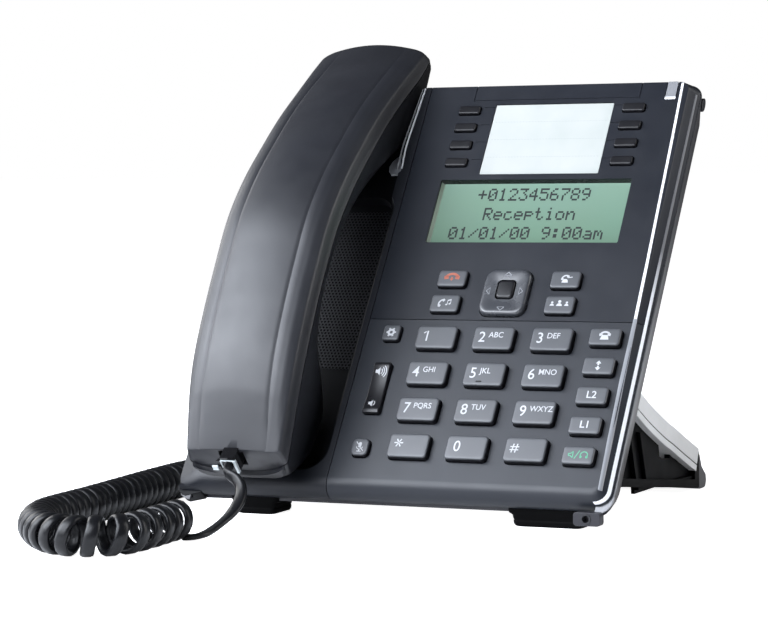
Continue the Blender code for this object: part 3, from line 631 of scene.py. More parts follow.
def key_rows():
    rows = []
    for k, (name, _, _) in enumerate(DIGITS):
        rows.append((name, 6.8 + 23.85 * (k % 3), 70.75 - 15.75 * (k // 3), 16.4, 10.0, 1.5, 2.7))
    for k, name in enumerate(SIDE_KEYS):
        rows.append((name, 75.8, 72.2 - 12.55 * k, 12.3, 7.3, 1.2, 2.7))
    rows.append(("key_settings", -12.9, 72.8, 7.0, 6.8, 1.2, 2.1))
    rows.append(("key_mute", -13.4, 22.5, 7.0, 7.2, 2.0, 2.1))
    rows.append(("key_goodbye", 6.9, 97.6, 11.9, 7.3, 1.3, 2.1))
    rows.append(("key_redial", 6.5, 86.3, 11.9, 7.7, 1.3, 2.1))
    rows.append(("key_transfer", 54.3, 97.4, 11.9, 7.5, 1.3, 2.1))
    rows.append(("key_conference", 54.2, 86.2, 11.9, 7.7, 1.3, 2.1))
    for side, u in (("left", -5.0), ("right", 65.3)):
        for k in range(4):
            name = "line_key_%s_%d" % (side, k + 1)
            rows.append((name, u, LINE_KEY_V - LINE_KEY_PITCH * k, 9.2, 3.8, 0.9, 1.3))
    return rows


KEY_ROWS = key_rows()
ROW_OF = {row[0]: row for row in KEY_ROWS}
NAV = (30.4, 91.8, 19.2, 20.4, 4.0)
NAV_KEY = (30.6, 92.6, 6.9, 7.7, 1.4)
VOLUME = (-13.0, 48.4, 6.9, 21.8, 1.0)


def chin_point(angle, radius=CHIN_R):
    return CHIN_V - radius * sin(angle), -CHIN_R + radius * cos(angle)


def front_loop(w, left, right, bottom, top, radius):
    return at(rounded(left, right, bottom, top, radius, 10), w)


EDGE = ((0.0, -81.0, 85.9, 189.6, 3.8), (22.5, -82.4, 86.4, 189.7, 4.0), (45.0, -85.6, 87.9, 189.9, 4.6),
        (68.5, -90.2, 90.2, 190.2, 5.5))


def edge_at(turn):
    """The front shell's outline at a turn of its edge: (left, right, top, corner radius)."""
    return tuple(smooth_at([(row[0], row[k]) for row in EDGE], turn) for k in (1, 2, 3, 4))


def front_blank():
    loops = []
    for k in range(13):
        turn = 68.5 * k / 12
        v, w = chin_point(radians(turn))
        left, right, top, radius = edge_at(turn)
        loops.append(front_loop(w, left, right, v, top, radius))
    v_rim = chin_point(radians(68.5))[0]
    loops.append(front_loop(FRONT_RIM, -BODY_HALF + 2, BODY_HALF - 2, v_rim + 2, BODY_TOP - 2, 4.0))
    loops.append(front_loop(-2.7, -84.6, 86.2, v_rim + 3.4, BODY_TOP - 2.4, 3.6))
    return loops


def chin_lip(left, right):
    turns = [radians(56.0 + 68.7 * k / 12) for k in range(13)]
    profile = [chin_point(a) for a in turns] + [chin_point(a, CHIN_R - 2.0) for a in turns[::-1]]
    return [[panel(left, v, w) for v, w in profile], [panel(right, v, w) for v, w in profile]]


def slab(outline, low, high):
    return [at(outline, low), at(outline, high)]


def box_loops(u0, u1, v0, v1, w0, w1):
    return slab([(u0, v0), (u1, v0), (u1, v1), (u0, v1)], w0, w1)


def cut_away(u0=None, u1=None, v0=None, v1=None):
    """Cutters for all that lies outside the given sides."""
    sides = ((u0, -130, u0, -130, 260), (u1, u1, 130, -130, 260),
             (v0, -130, 130, -130, v0), (v1, -130, 130, v1, 260))
    return [tool(box_loops(*box, -40, 20)) for side, *box in sides if side is not None]


def raw(name, loops):
    """A solid with no body yet, for cuts."""
    return loft(name, loops, FACE, None, None)


def finish_shell(obj, mat, nodes, bevel, angle=30.0, body="base"):
    mesh = obj.data
    mesh.materials.clear()
    mesh.materials.append(mat)
    bm = bmesh.new()
    bm.from_mesh(mesh)
    bmesh.ops.remove_doubles(bm, verts=bm.verts, dist=2e-6)
    bmesh.ops.dissolve_limit(bm, angle_limit=radians(0.5), verts=bm.verts, edges=bm.edges)
    bm.to_mesh(mesh)
    bm.free()
    mesh.shade_smooth()
    mesh.set_sharp_from_angle(angle=radians(angle))
    sharp = mesh.attributes.get("sharp_edge") or mesh.attributes.new("sharp_edge", "BOOLEAN", "EDGE")
    for polygon in mesh.polygons:
        if polygon.area > 3e-4:
            for index in polygon.loop_indices:
                sharp.data[mesh.loops[index].edge_index].value = True
    if bevel:
        round_edges(obj, bevel, angle)
    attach(obj, body)
    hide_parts(*nodes)
    return obj


def key_hole(u, v, wide, high, radius):
    return tool(slab(about(u, v, wide + 0.7, high + 0.7, radius + 0.3), -8.0, 3.0))


def make_display_panel():
    obj = raw("display_faceplate", front_blank())
    cuts = cut_away(u0=SEAM_U + 0.15, v0=SEAM_V + 0.15)
    cuts.append(tool(slab(rounded(*LCD, 0.6), -8, 3)))
    cuts.append(tool(slab(rounded(*LABEL, 0.6), -1.3, 3)))
    left, right, low = LAMP
    cuts.append(tool(slab(rounded(left, right, low, 199.0, 0.4), -8, 3)))
    for _, u, v, wide, high, radius, _ in KEY_ROWS:
        if v > SEAM_V:
            cuts.append(key_hole(u, v, wide, high, radius))
    cuts.append(key_hole(*NAV))
    # the engraved lead lines between the line keys and the label
    for k in range(4):
        v = LINE_KEY_V - LINE_KEY_PITCH * k + 1.6
        cuts.append(tool(box_loops(1.0, 5.3, v - 0.2, v + 0.2, -0.3, 1.0)))
        cuts.append(tool(box_loops(56.9, 60.3, v - 0.2, v + 0.2, -0.3, 1.0)))
    # the blank name plate's outline
    for u0, u1, v0, v1 in ((-4.6, -4.1, 182.6, 195.0), (66.3, 66.8, 182.6, 195.0), (-4.6, 66.8, 182.3, 182.8)):
        cuts.append(tool(box_loops(u0, u1, v0, v1, -0.3, 1.0)))
    apply_boolean(obj, cuts)
    finish_shell(obj, FACE, ["display_panel"], 0.18)


def make_keypad_panel():
    obj = raw("keypad_faceplate", front_blank())
    apply_boolean(obj, [tool(chin_lip(SEAM_U - 2, 84.0))], "UNION")
    cuts = cut_away(u0=SEAM_U + 0.15, v1=SEAM_V - 0.15)
    for _, u, v, wide, high, radius, _ in KEY_ROWS:
        if v < SEAM_V:
            cuts.append(key_hole(u, v, wide, high, radius))
    cuts.append(key_hole(*VOLUME))
    apply_boolean(obj, cuts)
    finish_shell(obj, LOW_FACE, ["keypad_panel"], 0.14)


def pocket(left, right, low, high, radius, floor):
    loops = [at(rounded(left, right, low, high, radius, 10), 6.0)]
    for k in range(7):
        a = radians(15.0 * k)
        shift = 2.0 * (1 - cos(a))
        drop = 2.0 * sin(a)
        loops.append(at(rounded(left + shift * 0.8, right - shift * 0.8, low + shift * 0.8, high - shift * 0.8,
                                radius - shift * 0.5, 10), -drop * 0.8))
    loops.append(at(rounded(left + 2.2, right - 2.2, low + 2.2, high - 2.2, radius - 1.4, 10), floor))
    return tool(loops)


def paint_recess_shade(obj, left, right):
    """Painted shade: the recess under the handset gets a deeper black than the rest of the shell."""
    obj.data.materials.append(RECESS_SHADE)
    for polygon in obj.data.polygons:
        spot = polygon.center / MM - Vector((0.0, PANEL_Y, PANEL_Z))
        if spot.dot(OUT) < -1.1 and left < spot.x < right and 12.0 < spot.dot(SLOPE) < 189.6:
            polygon.material_index = 1


def make_cradle():
    left = HANDSET_U - 26.4
    right = HANDSET_U + 26.2
    obj = raw("cradle_body", front_blank())
    apply_boolean(obj, [
        tool(chin_lip(-89.1, SEAM_U + 2)),
        tool(box_loops(left - 1.5, right + 1.5, 11.4, 150.0, -10.0, -1.2)),
        tool(box_loops(left - 1.53, right + 1.53, 143.0, 189.93, -14.0, -1.23)),
    ], "UNION")
    cuts = cut_away(u1=SEAM_U - 0.15)
    cuts.append(pocket(left, right, 12.6, 140.0, 10.0, -8.0))
    cuts.append(pocket(left, right, 146.5, 210.0, 7.0, -12.0))
    cuts.append(tool(box_loops(left + 2.5, right - 2.5, 132.0, 156.0, -3.0, 6.0)))
    cuts.append(tool(box_loops(HANDSET_U - 4.5, HANDSET_U + 4.5, 140.4, 145.6, -20.0, 5.0)))
    apply_boolean(obj, cuts)
    finish_shell(obj, CRADLE, ["cradle_shell"], 0.12)
    paint_recess_shade(obj, left - 0.3, right + 0.3)
    # the rounded foot of the lower left corner, over the back cover's edge, in the painted-shade black of the
    # recess
    corner = [(-80.0, 9.0), (-90.35, 9.0), (-90.35, 6.2), (-90.0, 4.6), (-89.2, 3.2), (-88.0, 2.3),
              (-86.6, 1.9), (-80.0, 3.6)]
    loft("cradle_corner", slab(corner, -10.5, -4.95), RECESS_SHADE, "base", "shell_plastic", angle=50.0, bevel=0.4)


def make_grille():
    """The loudspeaker's perforated field: a thin skin of hexagonal cells with round holes."""
    pitch = 1.5
    verts, faces = [], []
    u0, u1, v0, v1 = -74.0, -30.4, 62.0, 134.0
    low, high = -7.95, -7.72
    row = 0
    v = v0
    while v < v1:
        u = u0 + (pitch / 2 if row % 2 else 0.0)
        while u < u1:
            base = len(verts)
            for radius, w in ((pitch / sqrt(3), high), (0.53, high), (0.53, low)):
                for k in range(6 if radius > 0.6 else 12):
                    a = 2 * pi * k / (6 if radius > 0.6 else 12) + pi / 6
                    verts.append(panel(u + radius * cos(a), v + radius * sin(a), w))
            for k in range(6):
                a, b = base + k, base + (k + 1) % 6
                h = base + 6
                p, q, r = h + 2 * k, h + (2 * k + 1) % 12, h + (2 * k + 2) % 12
                faces.append((a, b, r, q, p))
            for k in range(12):
                h, l = base + 6, base + 18
                faces.append((h + k, h + (k + 1) % 12, l + (k + 1) % 12, l + k))
            u += pitch
        v += pitch * sqrt(3) / 2
        row += 1
    build("speaker_grille", verts, faces, GRILLE, "base", "shell_plastic", angle=40.0)
    # A black sheet under the grille, as painted shade seen through its holes.
    hole_shade_outline = rounded(u0 - 0.6, u1 + 0.6, v0 - 0.6, v1 + 0.6, 1.0, 3)
    loft("grille_hole_shade", slab(hole_shade_outline, -7.99, -7.93), HOLE_SHADE_BLACK, "base", "shell_plastic")


make_display_panel()
make_keypad_panel()
make_cradle()
make_grille()


def make_trim():
    """The line round the edge, a slim half-round strip, in a painted highlight: lighter low on the right, near
    black above and to the left.
    """
    loops = []
    for grow, w in ((0.0, -4.12), (0.28, -4.2), (0.36, -4.5), (0.28, -4.8), (0.0, -4.88)):
        loops.append(at(rounded(-90.2 - grow, 90.2 + grow, 1.9 - grow, 190.4 + grow, 5.9 + grow, 12), w))
    obj = raw("edge_line", loops)
    cuts = [tool(slab(rounded(-88.9, 88.9, 11.0, 189.1, 4.6, 10), -8, 0)),
            tool(box_loops(-84.2, 84.2, -20.0, 8.8, -12.0, 4.0)),
            tool(box_loops(-130.0, -81.0, -20.0, 12.0, -12.0, 4.0)),
            tool(box_loops(HANDSET_U - 28.4, HANDSET_U + 28.2, 180.0, 200.0, -12.0, 4.0))]
    apply_boolean(obj, cuts)
    finish_shell(obj, TRIM_HIGHLIGHT, ["edge_trim"], 0.0, 40.0)


def highlight_strip(name, spots, mat):
    """A slim raised line of painted highlight along the right edge, lying on the face and its rounded border.
    """
    loops = []
    for u, v, half in spots:
        loop = []
        for across, rise in ((-half, -0.25), (-half, 0.14), (0.0, 0.24), (half, 0.16), (half, -0.25)):
            loop.append(panel(u + across, v, rise - 0.885 * max(0.0, u + across - 85.9)))
        loops.append(loop)
    loft(name, loops, mat, "base", "silver_trim", angle=50.0)


make_trim()
highlight_strip("edge_highlight_upper", [(83.3, 189.0, 0.5), (84.0, 162.5, 0.5), (84.5, 134.8, 0.5), (85.0, 107.8, 0.55),
                               (85.3, 81.4, 0.6)], WHITE_HIGHLIGHT)
highlight_strip("edge_highlight_lower", [(85.3, 81.4, 0.75), (85.35, 55.6, 0.95), (85.75, 30.3, 0.95),
                               (86.1, 9.4, 0.7)], GREY_HIGHLIGHT)


def border_highlight():
    """The line of painted highlight down the body's right edge and round its lower corner, following the
    rounded border.
    """
    widths = ((185.0, 3.2), (145.0, 3.6), (100.0, 4.2), (60.0, 5.0), (30.0, 5.6), (14.0, 5.6))
    middle = 55.5
    rows = [(v, 0.0, spread) for v, spread in widths]
    rows += [(None, 15.0 * k, 5.6) for k in range(7)]
    loops = []
    for v, turned, spread in rows:
        a = radians(turned)
        loop = []
        for turn, rise in ((middle - spread, -0.3), (middle - spread, 0.10), (middle, 0.18),
                           (middle + spread, 0.10), (middle + spread, -0.3)):
            _, right, _, radius = edge_at(turn)
            low, w = chin_point(radians(turn))
            across = right - radius + (radius + 0.66 * rise) * cos(a)
            along = low + radius - (radius + 0.66 * rise) * sin(a)
            loop.append(panel(across, along if v is None else v, w + 0.75 * rise))
        loops.append(loop)
    loft("edge_highlight_outer", loops, LINE_HIGHLIGHT, "base", "silver_trim", angle=50.0)


border_highlight()


# ---------------------------------------------------------------- keys

def key_cap(row):
    name, u, v, wide, high, radius, proud = row
    soft = 0.30 if proud < 1.5 else 0.42
    loops = [at(about(u, v, wide, high, radius, 8), -2.9)]
    loops.append(at(about(u, v, wide - 0.1, high - 0.1, radius, 8), proud - soft - 0.12))
    for k in range(6):
        a = radians(18.0 * k)
        inset = soft * (1 - cos(a)) * 1.15 + 0.12
        loops.append(at(about(u, v, wide - 2 * inset, high - 2 * inset, max(radius - inset * 0.6, 0.3), 8),
                        proud - soft + soft * sin(a)))
    inner = about(u, v, wide - 2 * soft * 1.15 - 2.4, high - 2 * soft * 1.15 - 1.6, 0.4, 8)
    loops.append(at(inner, proud + 0.015))
    mat = DARK_KEYS_AND_SIDE_SHADE if name.startswith("line_key") else KEYS
    cap = loft(name + "_cap", loops, mat, name, "key_plastic", [name], angle=28.0)
    # The cap's lower sides take the dark key black as painted shade.
    cap.data.materials.append(DARK_KEYS_AND_SIDE_SHADE)
    for polygon in cap.data.polygons:
        height = (polygon.center / MM - Vector((0.0, PANEL_Y, PANEL_Z))).dot(OUT)
        if height < proud - soft - 0.2:
            polygon.material_index = 1


for key_row in KEY_ROWS:
    key_cap(key_row)


def make_nav():
    u, v, wide, high, radius = NAV
    loops = [at(about(u, v, wide - 0.3, high - 0.3, radius, 10), -3.3)]
    loops.append(at(about(u, v, wide, high, radius, 10), 0.5))
    for k in range(1, 7):
        a = radians(15.0 * k)
        inset = 1.1 * (1 - cos(a))
        outline = about(u, v, wide - 2 * inset, high - 2 * inset, radius - inset * 0.4, 10)
        loops.append(at(outline, 0.5 + 1.8 * sin(a)))
    for k in range(1, 6):
        share = k / 5
        dish_wide = (wide - 2.2) * (1 - share) + 8.6 * share
        dish_high = (high - 2.2) * (1 - share) + 9.4 * share
        loops.append(at(about(u, v, dish_wide, dish_high, 3.6 - 1.8 * share, 10), 2.3 - 0.35 * share ** 1.5))
    ring = raw("nav_ring_cap", loops)
    cu, cv, cwide, chigh, cradius = NAV_KEY
    apply_boolean(ring, [tool(slab(about(cu, cv, cwide + 1.0, chigh + 1.0, cradius + 0.3, 8), -8, 6))])
    finish_shell(ring, GLOSS, ["nav_ring"], 0.12, 35.0, "nav_ring")
    loops = [at(about(cu, cv, cwide, chigh, cradius, 8), -3.8)]
    for k in range(7):
        a = radians(15.0 * k)
        inset = 0.8 * (1 - cos(a))
        outline = about(cu, cv, cwide - 2 * inset, chigh - 2 * inset, cradius - inset * 0.4, 8)
        loops.append(at(outline, 1.7 + 0.9 * sin(a)))
    loft("nav_select_cap", loops, DARK_KEYS_AND_SIDE_SHADE, "nav_select", "gloss_black", ["nav_select"], angle=28.0)


def make_volume():
    u, v, wide, high, _ = VOLUME
    loops = []
    for k in range(25):
        t = -1 + k / 12
        end = 1 - abs(t)
        top = 1.5 + 1.1 * t * t
        if end < 0.08:
            top -= 0.5 * (1 - end / 0.08)
        y = v + t * high / 2
        half = wide / 2
        corner = 0.5
        loop = [panel(u - half, y, -3.3), panel(u - half, y, top - corner)]
        for start, middle in ((pi, u - half + corner), (pi / 2, u + half - corner)):
            for j in range(5):
                a = start - pi / 2 * j / 4
                loop.append(panel(middle + corner * cos(a), y, top - corner + corner * sin(a)))
        loop += [panel(u + half, y, top - corner), panel(u + half, y, -3.3)]
        loops.append(loop)
    loft("volume_cap", loops, DARK_KEYS_AND_SIDE_SHADE, "volume_rocker", "gloss_black", ["volume_rocker"], angle=40.0)


make_nav()
make_volume()


# ---------------------------------------------------------------- printed legends

TEXT_RISE = 0.035


def legend(name, text, u, v, w, size, mat, body, align="LEFT", squeeze=1.0, thick=0.03):
    """Printed characters, as a thin skin just above a face."""
    curve = bpy.data.curves.new(name, "FONT")
    curve.body = text
    curve.size = size
    curve.align_x = align
    curve.align_y = "CENTER"
    curve.extrude = 0.0
    curve.offset = thick
    curve.resolution_u = 4
    holder = bpy.data.objects.new(name + "_text", curve)
    bpy.context.scene.collection.objects.link(holder)
    bpy.context.view_layer.update()
    flat = bpy.data.meshes.new_from_object(holder.evaluated_get(bpy.context.evaluated_depsgraph_get()))
    bpy.data.objects.remove(holder)
    verts = [panel(u + p.co.x * squeeze, v + p.co.y, w + TEXT_RISE) for p in flat.vertices]
    faces = [tuple(p.vertices) for p in flat.polygons]
    return skin(name, verts, faces, mat, body)


def fix_order(mesh):
    """Puts points and faces in a fixed order, because the extrusion's own order changes from run to run."""
    spots = [tuple(vertex.co) for vertex in mesh.vertices]
    order = sorted(range(len(spots)), key=spots.__getitem__)
    new_index = {old: new for new, old in enumerate(order)}
    faces = sorted(tuple(new_index[i] for i in polygon.vertices) for polygon in mesh.polygons)
    mesh.clear_geometry()
    mesh.from_pydata([spots[i] for i in order], [], faces)


def skin(name, verts, faces, mat, body, rise=0.03):
    """A closed thin plate standing on a flat outline."""
    mesh, bm = start_mesh(name, verts, faces)
    made = bmesh.ops.extrude_face_region(bm, geom=list(bm.faces))
    moved = [g for g in made["geom"] if isinstance(g, bmesh.types.BMVert)]
    bmesh.ops.translate(bm, verts=moved, vec=-OUT * (rise * MM))
    bmesh.ops.recalc_face_normals(bm, faces=bm.faces)
    bm.to_mesh(mesh)
    bm.free()
    fix_order(mesh)
    return dress(name, mesh, mat, body, flat=True)


def shapes(name, polygons, u, v, w, mat, body, scale=1.0):
    """A small pictogram from polygons of (x, y) points in millimetres about its centre."""
    verts, faces = [], []
    for polygon in polygons:
        base = len(verts)
        verts += [panel(u + x * scale, v + y * scale, w + TEXT_RISE) for x, y in polygon]
        faces.append(tuple(range(base, base + len(polygon))))
    return skin(name, verts, faces, mat, body)


def disc(cx, cy, rx, ry=None, count=20, start=0.0, stop=360.0):
    ry = rx if ry is None else ry
    full = stop - start >= 359.9
    steps = count if full else count + 1
    return [(cx + rx * cos(radians(start + (stop - start) * k / count)),
             cy + ry * sin(radians(start + (stop - start) * k / count))) for k in range(steps)]


def bar(x0, y0, x1, y1, thick):
    dx, dy = x1 - x0, y1 - y0
    long = sqrt(dx * dx + dy * dy)
    nx, ny = -dy / long * thick / 2, dx / long * thick / 2
    return [(x0 + nx, y0 + ny), (x0 - nx, y0 - ny), (x1 - nx, y1 - ny), (x1 + nx, y1 + ny)]


def arc_band(cx, cy, radius, thick, start, stop, count=14):
    parts = []
    for k in range(count):
        a0 = radians(start + (stop - start) * k / count)
        a1 = radians(start + (stop - start) * (k + 1) / count)
        ro, ri = radius + thick / 2, radius - thick / 2
        parts.append([(cx + ri * cos(a0), cy + ri * sin(a0)), (cx + ro * cos(a0), cy + ro * sin(a0)),
                      (cx + ro * cos(a1), cy + ro * sin(a1)), (cx + ri * cos(a1), cy + ri * sin(a1))])
    return parts


def handset_icon(scale=1.0, turn=0.0):
    """A telephone receiver: an arched grip with two ends."""
    parts = arc_band(0, -1.2, 2.3, 0.75, 35, 145)
    parts.append([(-2.45, 0.35), (-1.15, 0.6), (-1.0, -0.55), (-2.3, -0.75)])
    parts.append([(2.45, 0.35), (1.15, 0.6), (1.0, -0.55), (2.3, -0.75)])
    c, s = cos(turn), sin(turn)
    return [[((x * c - y * s) * scale, (x * s + y * c) * scale) for x, y in p] for p in parts]


def move(parts, dx, dy):
    return [[(x + dx, y + dy) for x, y in p] for p in parts]


def speaker_icon(waves, mirror=1.0):
    parts = [[(-1.2, -0.45), (-1.2, 0.45), (-0.6, 0.45), (0.1, 1.15), (0.1, -1.15), (-0.6, -0.45)]]
    for k in range(waves):
        parts += arc_band(-0.2, 0.0, 0.95 + 0.6 * k, 0.26, -48, 48, 8)
    return [[(x * mirror, y) for x, y in p] for p in parts]


def volume_icon(name, polygons, u, v, scale):
    """A pictogram that follows the hollow top of the volume key."""
    verts, faces = [], []
    for polygon in polygons:
        base = len(verts)
        for x, y in polygon:
            t = (v + y * scale - VOLUME[1]) / (VOLUME[3] / 2)
            verts.append(panel(u + x * scale, v + y * scale, 1.5 + 1.1 * t * t + 0.05))
        faces.append(tuple(range(base, base + len(polygon))))
    skin(name, verts, faces, INK, "volume_rocker", 0.05)


def person(cx, cy, size):
    shoulders = disc(cx, cy - 0.55 * size, 0.78 * size, 0.8 * size, 14, 0, 180)
    return [disc(cx, cy + 0.75 * size, 0.42 * size), shoulders]


def icon(name, parts, scale=1.0, ink=INK, shift=0.0):
    """The pictogram of a function key, on its top face."""
    _, u, v, _, _, _, w = ROW_OF["key_" + name]
    shapes("icon_" + name, parts, u + shift, v, w, ink, "key_" + name, scale)


def make_legends():
    for name, digit, letters in DIGITS:
        u, v = ROW_OF[name][1:3]
        if digit == "*":
            parts = [bar(-1.25, 0, 1.25, 0, 0.34), bar(-0.62, 1.1, 0.62, -1.1, 0.34),
                     bar(-0.62, -1.1, 0.62, 1.1, 0.34)]
            shapes("legend_star", parts, u - 4.0, v + 0.9, 2.7, INK, name, 1.45)
        elif digit == "#":
            parts = [bar(-0.85, -1.5, -0.35, 1.5, 0.36), bar(0.35, -1.5, 0.85, 1.5, 0.36),
                     bar(-1.4, 0.5, 1.5, 0.5, 0.34), bar(-1.5, -0.55, 1.4, -0.55, 0.34)]
            shapes("legend_hash", parts, u - 4.3, v + 0.3, 2.7, INK, name, 1.22)
        else:
            shift = -5.2 if not letters else -6.0
            legend("legend_" + digit, digit, u + shift, v + 0.1, 2.7, 6.4, INK, name, squeeze=0.92, thick=0.02)
        if digit == "1":
            flag = [bar(0.35, 2.1, -0.55, 1.45, 0.42)]
            shapes("legend_1_flag", flag, u + shift + 0.45, v + 0.1, 2.7, INK, name)
        if letters:
            legend("letters_" + digit, letters, u - 1.9, v + 1.2, 2.7, 3.35, INK, name,
                   squeeze=0.93, thick=0.018)
        if digit == "5":
            bump = [at(about(u - 1.5, v - 3.4, 2.4 - g, 0.62 - g * 0.5, 0.2, 4), 2.68 + h)
                    for g, h in ((0.0, 0.0), (0.1, 0.22), (0.3, 0.32))]
            loft("key_5_nib", bump, DARK_KEYS_AND_SIDE_SHADE, name, "key_plastic")
    for mark in ("L2", "L1"):
        name = "key_line_" + mark[1]
        _, u, v, _, _, _, w = ROW_OF[name]
        legend("legend_" + mark, mark, u, v, w, 4.2, INK, name, "CENTER", thick=0.05)

    base = [[(-1.55, -1.25), (-1.25, -0.05), (-0.75, 0.5), (0.75, 0.5), (1.25, -0.05), (1.55, -1.25)]]
    icon("directory", move(handset_icon(0.85), 0, 0.75) + base, 1.12)
    arrow = [(0, 1.85), (-0.95, 0.75), (-0.3, 0.75), (-0.3, 0.15), (0.3, 0.15), (0.3, 0.75), (0.95, 0.75)]
    arrows = [arrow, [(-x, -y) for x, y in arrow]]
    icon("scroll", arrows, 1.15)
    strokes = ((-3.4, -0.4, -3.4, 0.4), (-3.4, 0.4, -2.7, 0.4), (-2.7, 0.4, -1.9, 1.15),
               (-1.9, 1.2, -1.9, -1.2), (-1.9, -1.15, -2.7, -0.4), (-2.7, -0.4, -3.4, -0.4),
               (-1.2, -1.5, 0.3, 1.6))
    horn = [bar(*stroke, 0.28) for stroke in strokes]
    band = arc_band(2.0, -0.1, 1.25, 0.3, -40, 220, 16)
    cups = [disc(0.95, -0.75, 0.42, 0.5), disc(3.05, -0.75, 0.42, 0.5)]
    icon("speaker", horn + band + cups, 1.12, GREEN_INK, 0.1)
    ring = arc_band(0, 0, 0.95, 0.75, 0, 360, 24)
    teeth = []
    for k in range(6):
        c, s = cos(radians(60 * k)), sin(radians(60 * k))
        teeth.append(bar(c * 1.2, s * 1.2, c * 1.75, s * 1.75, 0.6))
    icon("settings", ring + teeth, 1.15)
    mic = [about(0, 0.6, 1.15, 2.0, 0.55, 5), bar(0, -0.9, 0, -1.7, 0.3), bar(-0.8, -1.75, 0.8, -1.75, 0.3)]
    mic += arc_band(0, 0.1, 1.1, 0.26, 190, 350, 10)
    mic += [bar(-1.5, 1.8, 1.5, -1.6, 0.26)]
    icon("mute", mic, 1.15)
    down = [[(-0.75, -0.35), (0.75, -0.35), (0, -1.25)], bar(0, 0.35, 0, -0.4, 0.6)]
    icon("goodbye", move(handset_icon(1.25), 0, 0.3) + down, 1.08, RED_INK)
    note = [disc(1.05, -0.75, 0.42, 0.34), disc(2.35, -0.4, 0.42, 0.34), bar(1.4, -0.7, 1.4, 1.1, 0.24),
            bar(2.7, -0.35, 2.7, 1.45, 0.24), bar(1.3, 1.05, 2.8, 1.45, 0.5)]
    icon("redial", move(handset_icon(0.82, radians(60)), -1.2, 0.0) + note, shift=-0.2)
    phone = [[(-1.3, -1.5), (-1.05, -0.5), (-0.55, 0.05), (0.55, 0.05), (1.05, -0.5), (1.3, -1.5)]]
    phone.append(bar(0.9, 0.65, 2.8, 0.95, 0.34))
    icon("transfer", move(handset_icon(0.72, radians(28)), -0.2, 0.75) + phone)
    icon("conference", person(-2.3, 0, 0.85) + person(2.3, 0, 0.85) + person(0, 0.1, 1.15), 1.3)
    u, v = NAV[0], NAV[1]
    for k, (dx, dy, a) in enumerate(((0, 7.6, 90), (0, -7.7, 270), (-6.7, 0, 180), (6.7, 0, 0))):
        c, s = cos(radians(a)), sin(radians(a))
        arrow = [bar(-0.6, 1.5, 0.9, 0, 0.24), bar(0.9, 0, -0.6, -1.5, 0.24), bar(-0.6, 1.4, -0.6, -1.4, 0.16)]
        turned = [[(x * c - y * s, x * s + y * c) for x, y in p] for p in arrow]
        shapes("nav_arrow_%d" % k, turned, u + dx, v + dy, 2.26, GREY_INK, "nav_ring")
    volume_icon("icon_louder", speaker_icon(3), -13.4, 55.4, 1.45)
    volume_icon("icon_softer", speaker_icon(1), -13.1, 41.4, 1.35)


make_legends()


# ---------------------------------------------------------------- display and label

GLYPHS = {
    "0": "0E11131519110E", "1": "040C040404040E", "2": "0E11010204081F", "3": "1F02040201110E",
    "4": "02060A121F0202", "5": "1F101E0101110E", "6": "0608101E11110E", "7": "1F010204080808",
    "8": "0E11110E11110E", "9": "0E11110F01020C", "+": "0004041F040400", "/": "00010204081000",
    ":": "000C0C000C0C00", " ": "00000000000000", "R": "1E11111E141211", "e": "00000E111F100E",
    "c": "00000E1010110E", "p": "00001E111E1010", "t": "08081C08080906", "i": "04000C0404040E",
    "o": "00000E1111110E", "n": "00001619111111", "a": "00000E010F110F", "m": "00001A15151111",
}


def tile(verts, faces, u, v, wide, high, w):
    """Adds one flat rectangle, from its top left corner."""
    base = len(verts)
    verts += [panel(u, v, w), panel(u + wide, v, w), panel(u + wide, v - high, w), panel(u, v - high, w)]
    faces.append((base, base + 1, base + 2, base + 3))


def make_display():
    left, right, low, high = LCD
    pane = rounded(left + 0.25, right - 0.25, low + 0.25, high - 0.25, 0.5, 4)
    shown = ["lcd_module", "lcd_window"]
    loft("display_layer", slab(pane, -3.05, -2.2), LCD_GREEN, "base", "display_unit", shown)
    # A near-black frame on the window's walls, as painted shade.
    outer = rounded(left + 0.06, right - 0.06, low + 0.06, high - 0.06, 0.6, 4)
    inner = rounded(left + 0.9, right - 0.9, low + 0.7, high - 0.7, 0.5, 4)
    loops = [at(outer, -2.15), at(outer, -0.35), at(inner, -2.12)]
    verts, faces = loft_data(loops, False)
    count = len(outer)
    faces += [(2 * count + i, 2 * count + (i + 1) % count, (i + 1) % count, i) for i in range(count)]
    build("display_bezel_shade", verts, faces, BEZEL_SHADE, "base", "panel_plastic", angle=20.0)
    # The window's left wall in light green, as a painted reflection.
    profile = ((0.12, -0.5), (0.95, -2.02), (1.15, -2.08), (0.12, -2.1))
    side = [panel(left + shift, low + 0.6, w) for shift, w in profile]
    far = [point + SLOPE * (high - low - 1.3) for point in side]
    loft("display_left_reflection", [side, far], BEVEL_REFLECTION_GREEN, "base", "display_unit", angle=20.0)
    verts, faces = [], []
    cell, dot = 0.73, 0.745
    for text, top in (("+0123456789", 141.6), ("Reception", 132.6), ("01/01/00 9:00am", 123.7)):
        start = 30.6 - len(text) * cell * 6 * 0.5 * 0.985
        for n, letter in enumerate(text):
            rows = [int(GLYPHS[letter][2 * r:2 * r + 2], 16) for r in range(7)]
            for r, bits in enumerate(rows):
                for c in range(5):
                    if bits >> (4 - c) & 1:
                        u = start + (n * 6 + c) * cell
                        v = top - r * cell * 1.12
                        tile(verts, faces, u, v, dot, dot * 1.13, -2.17)
    skin("display_text", verts, faces, LCD_INK, "base", 0.02)


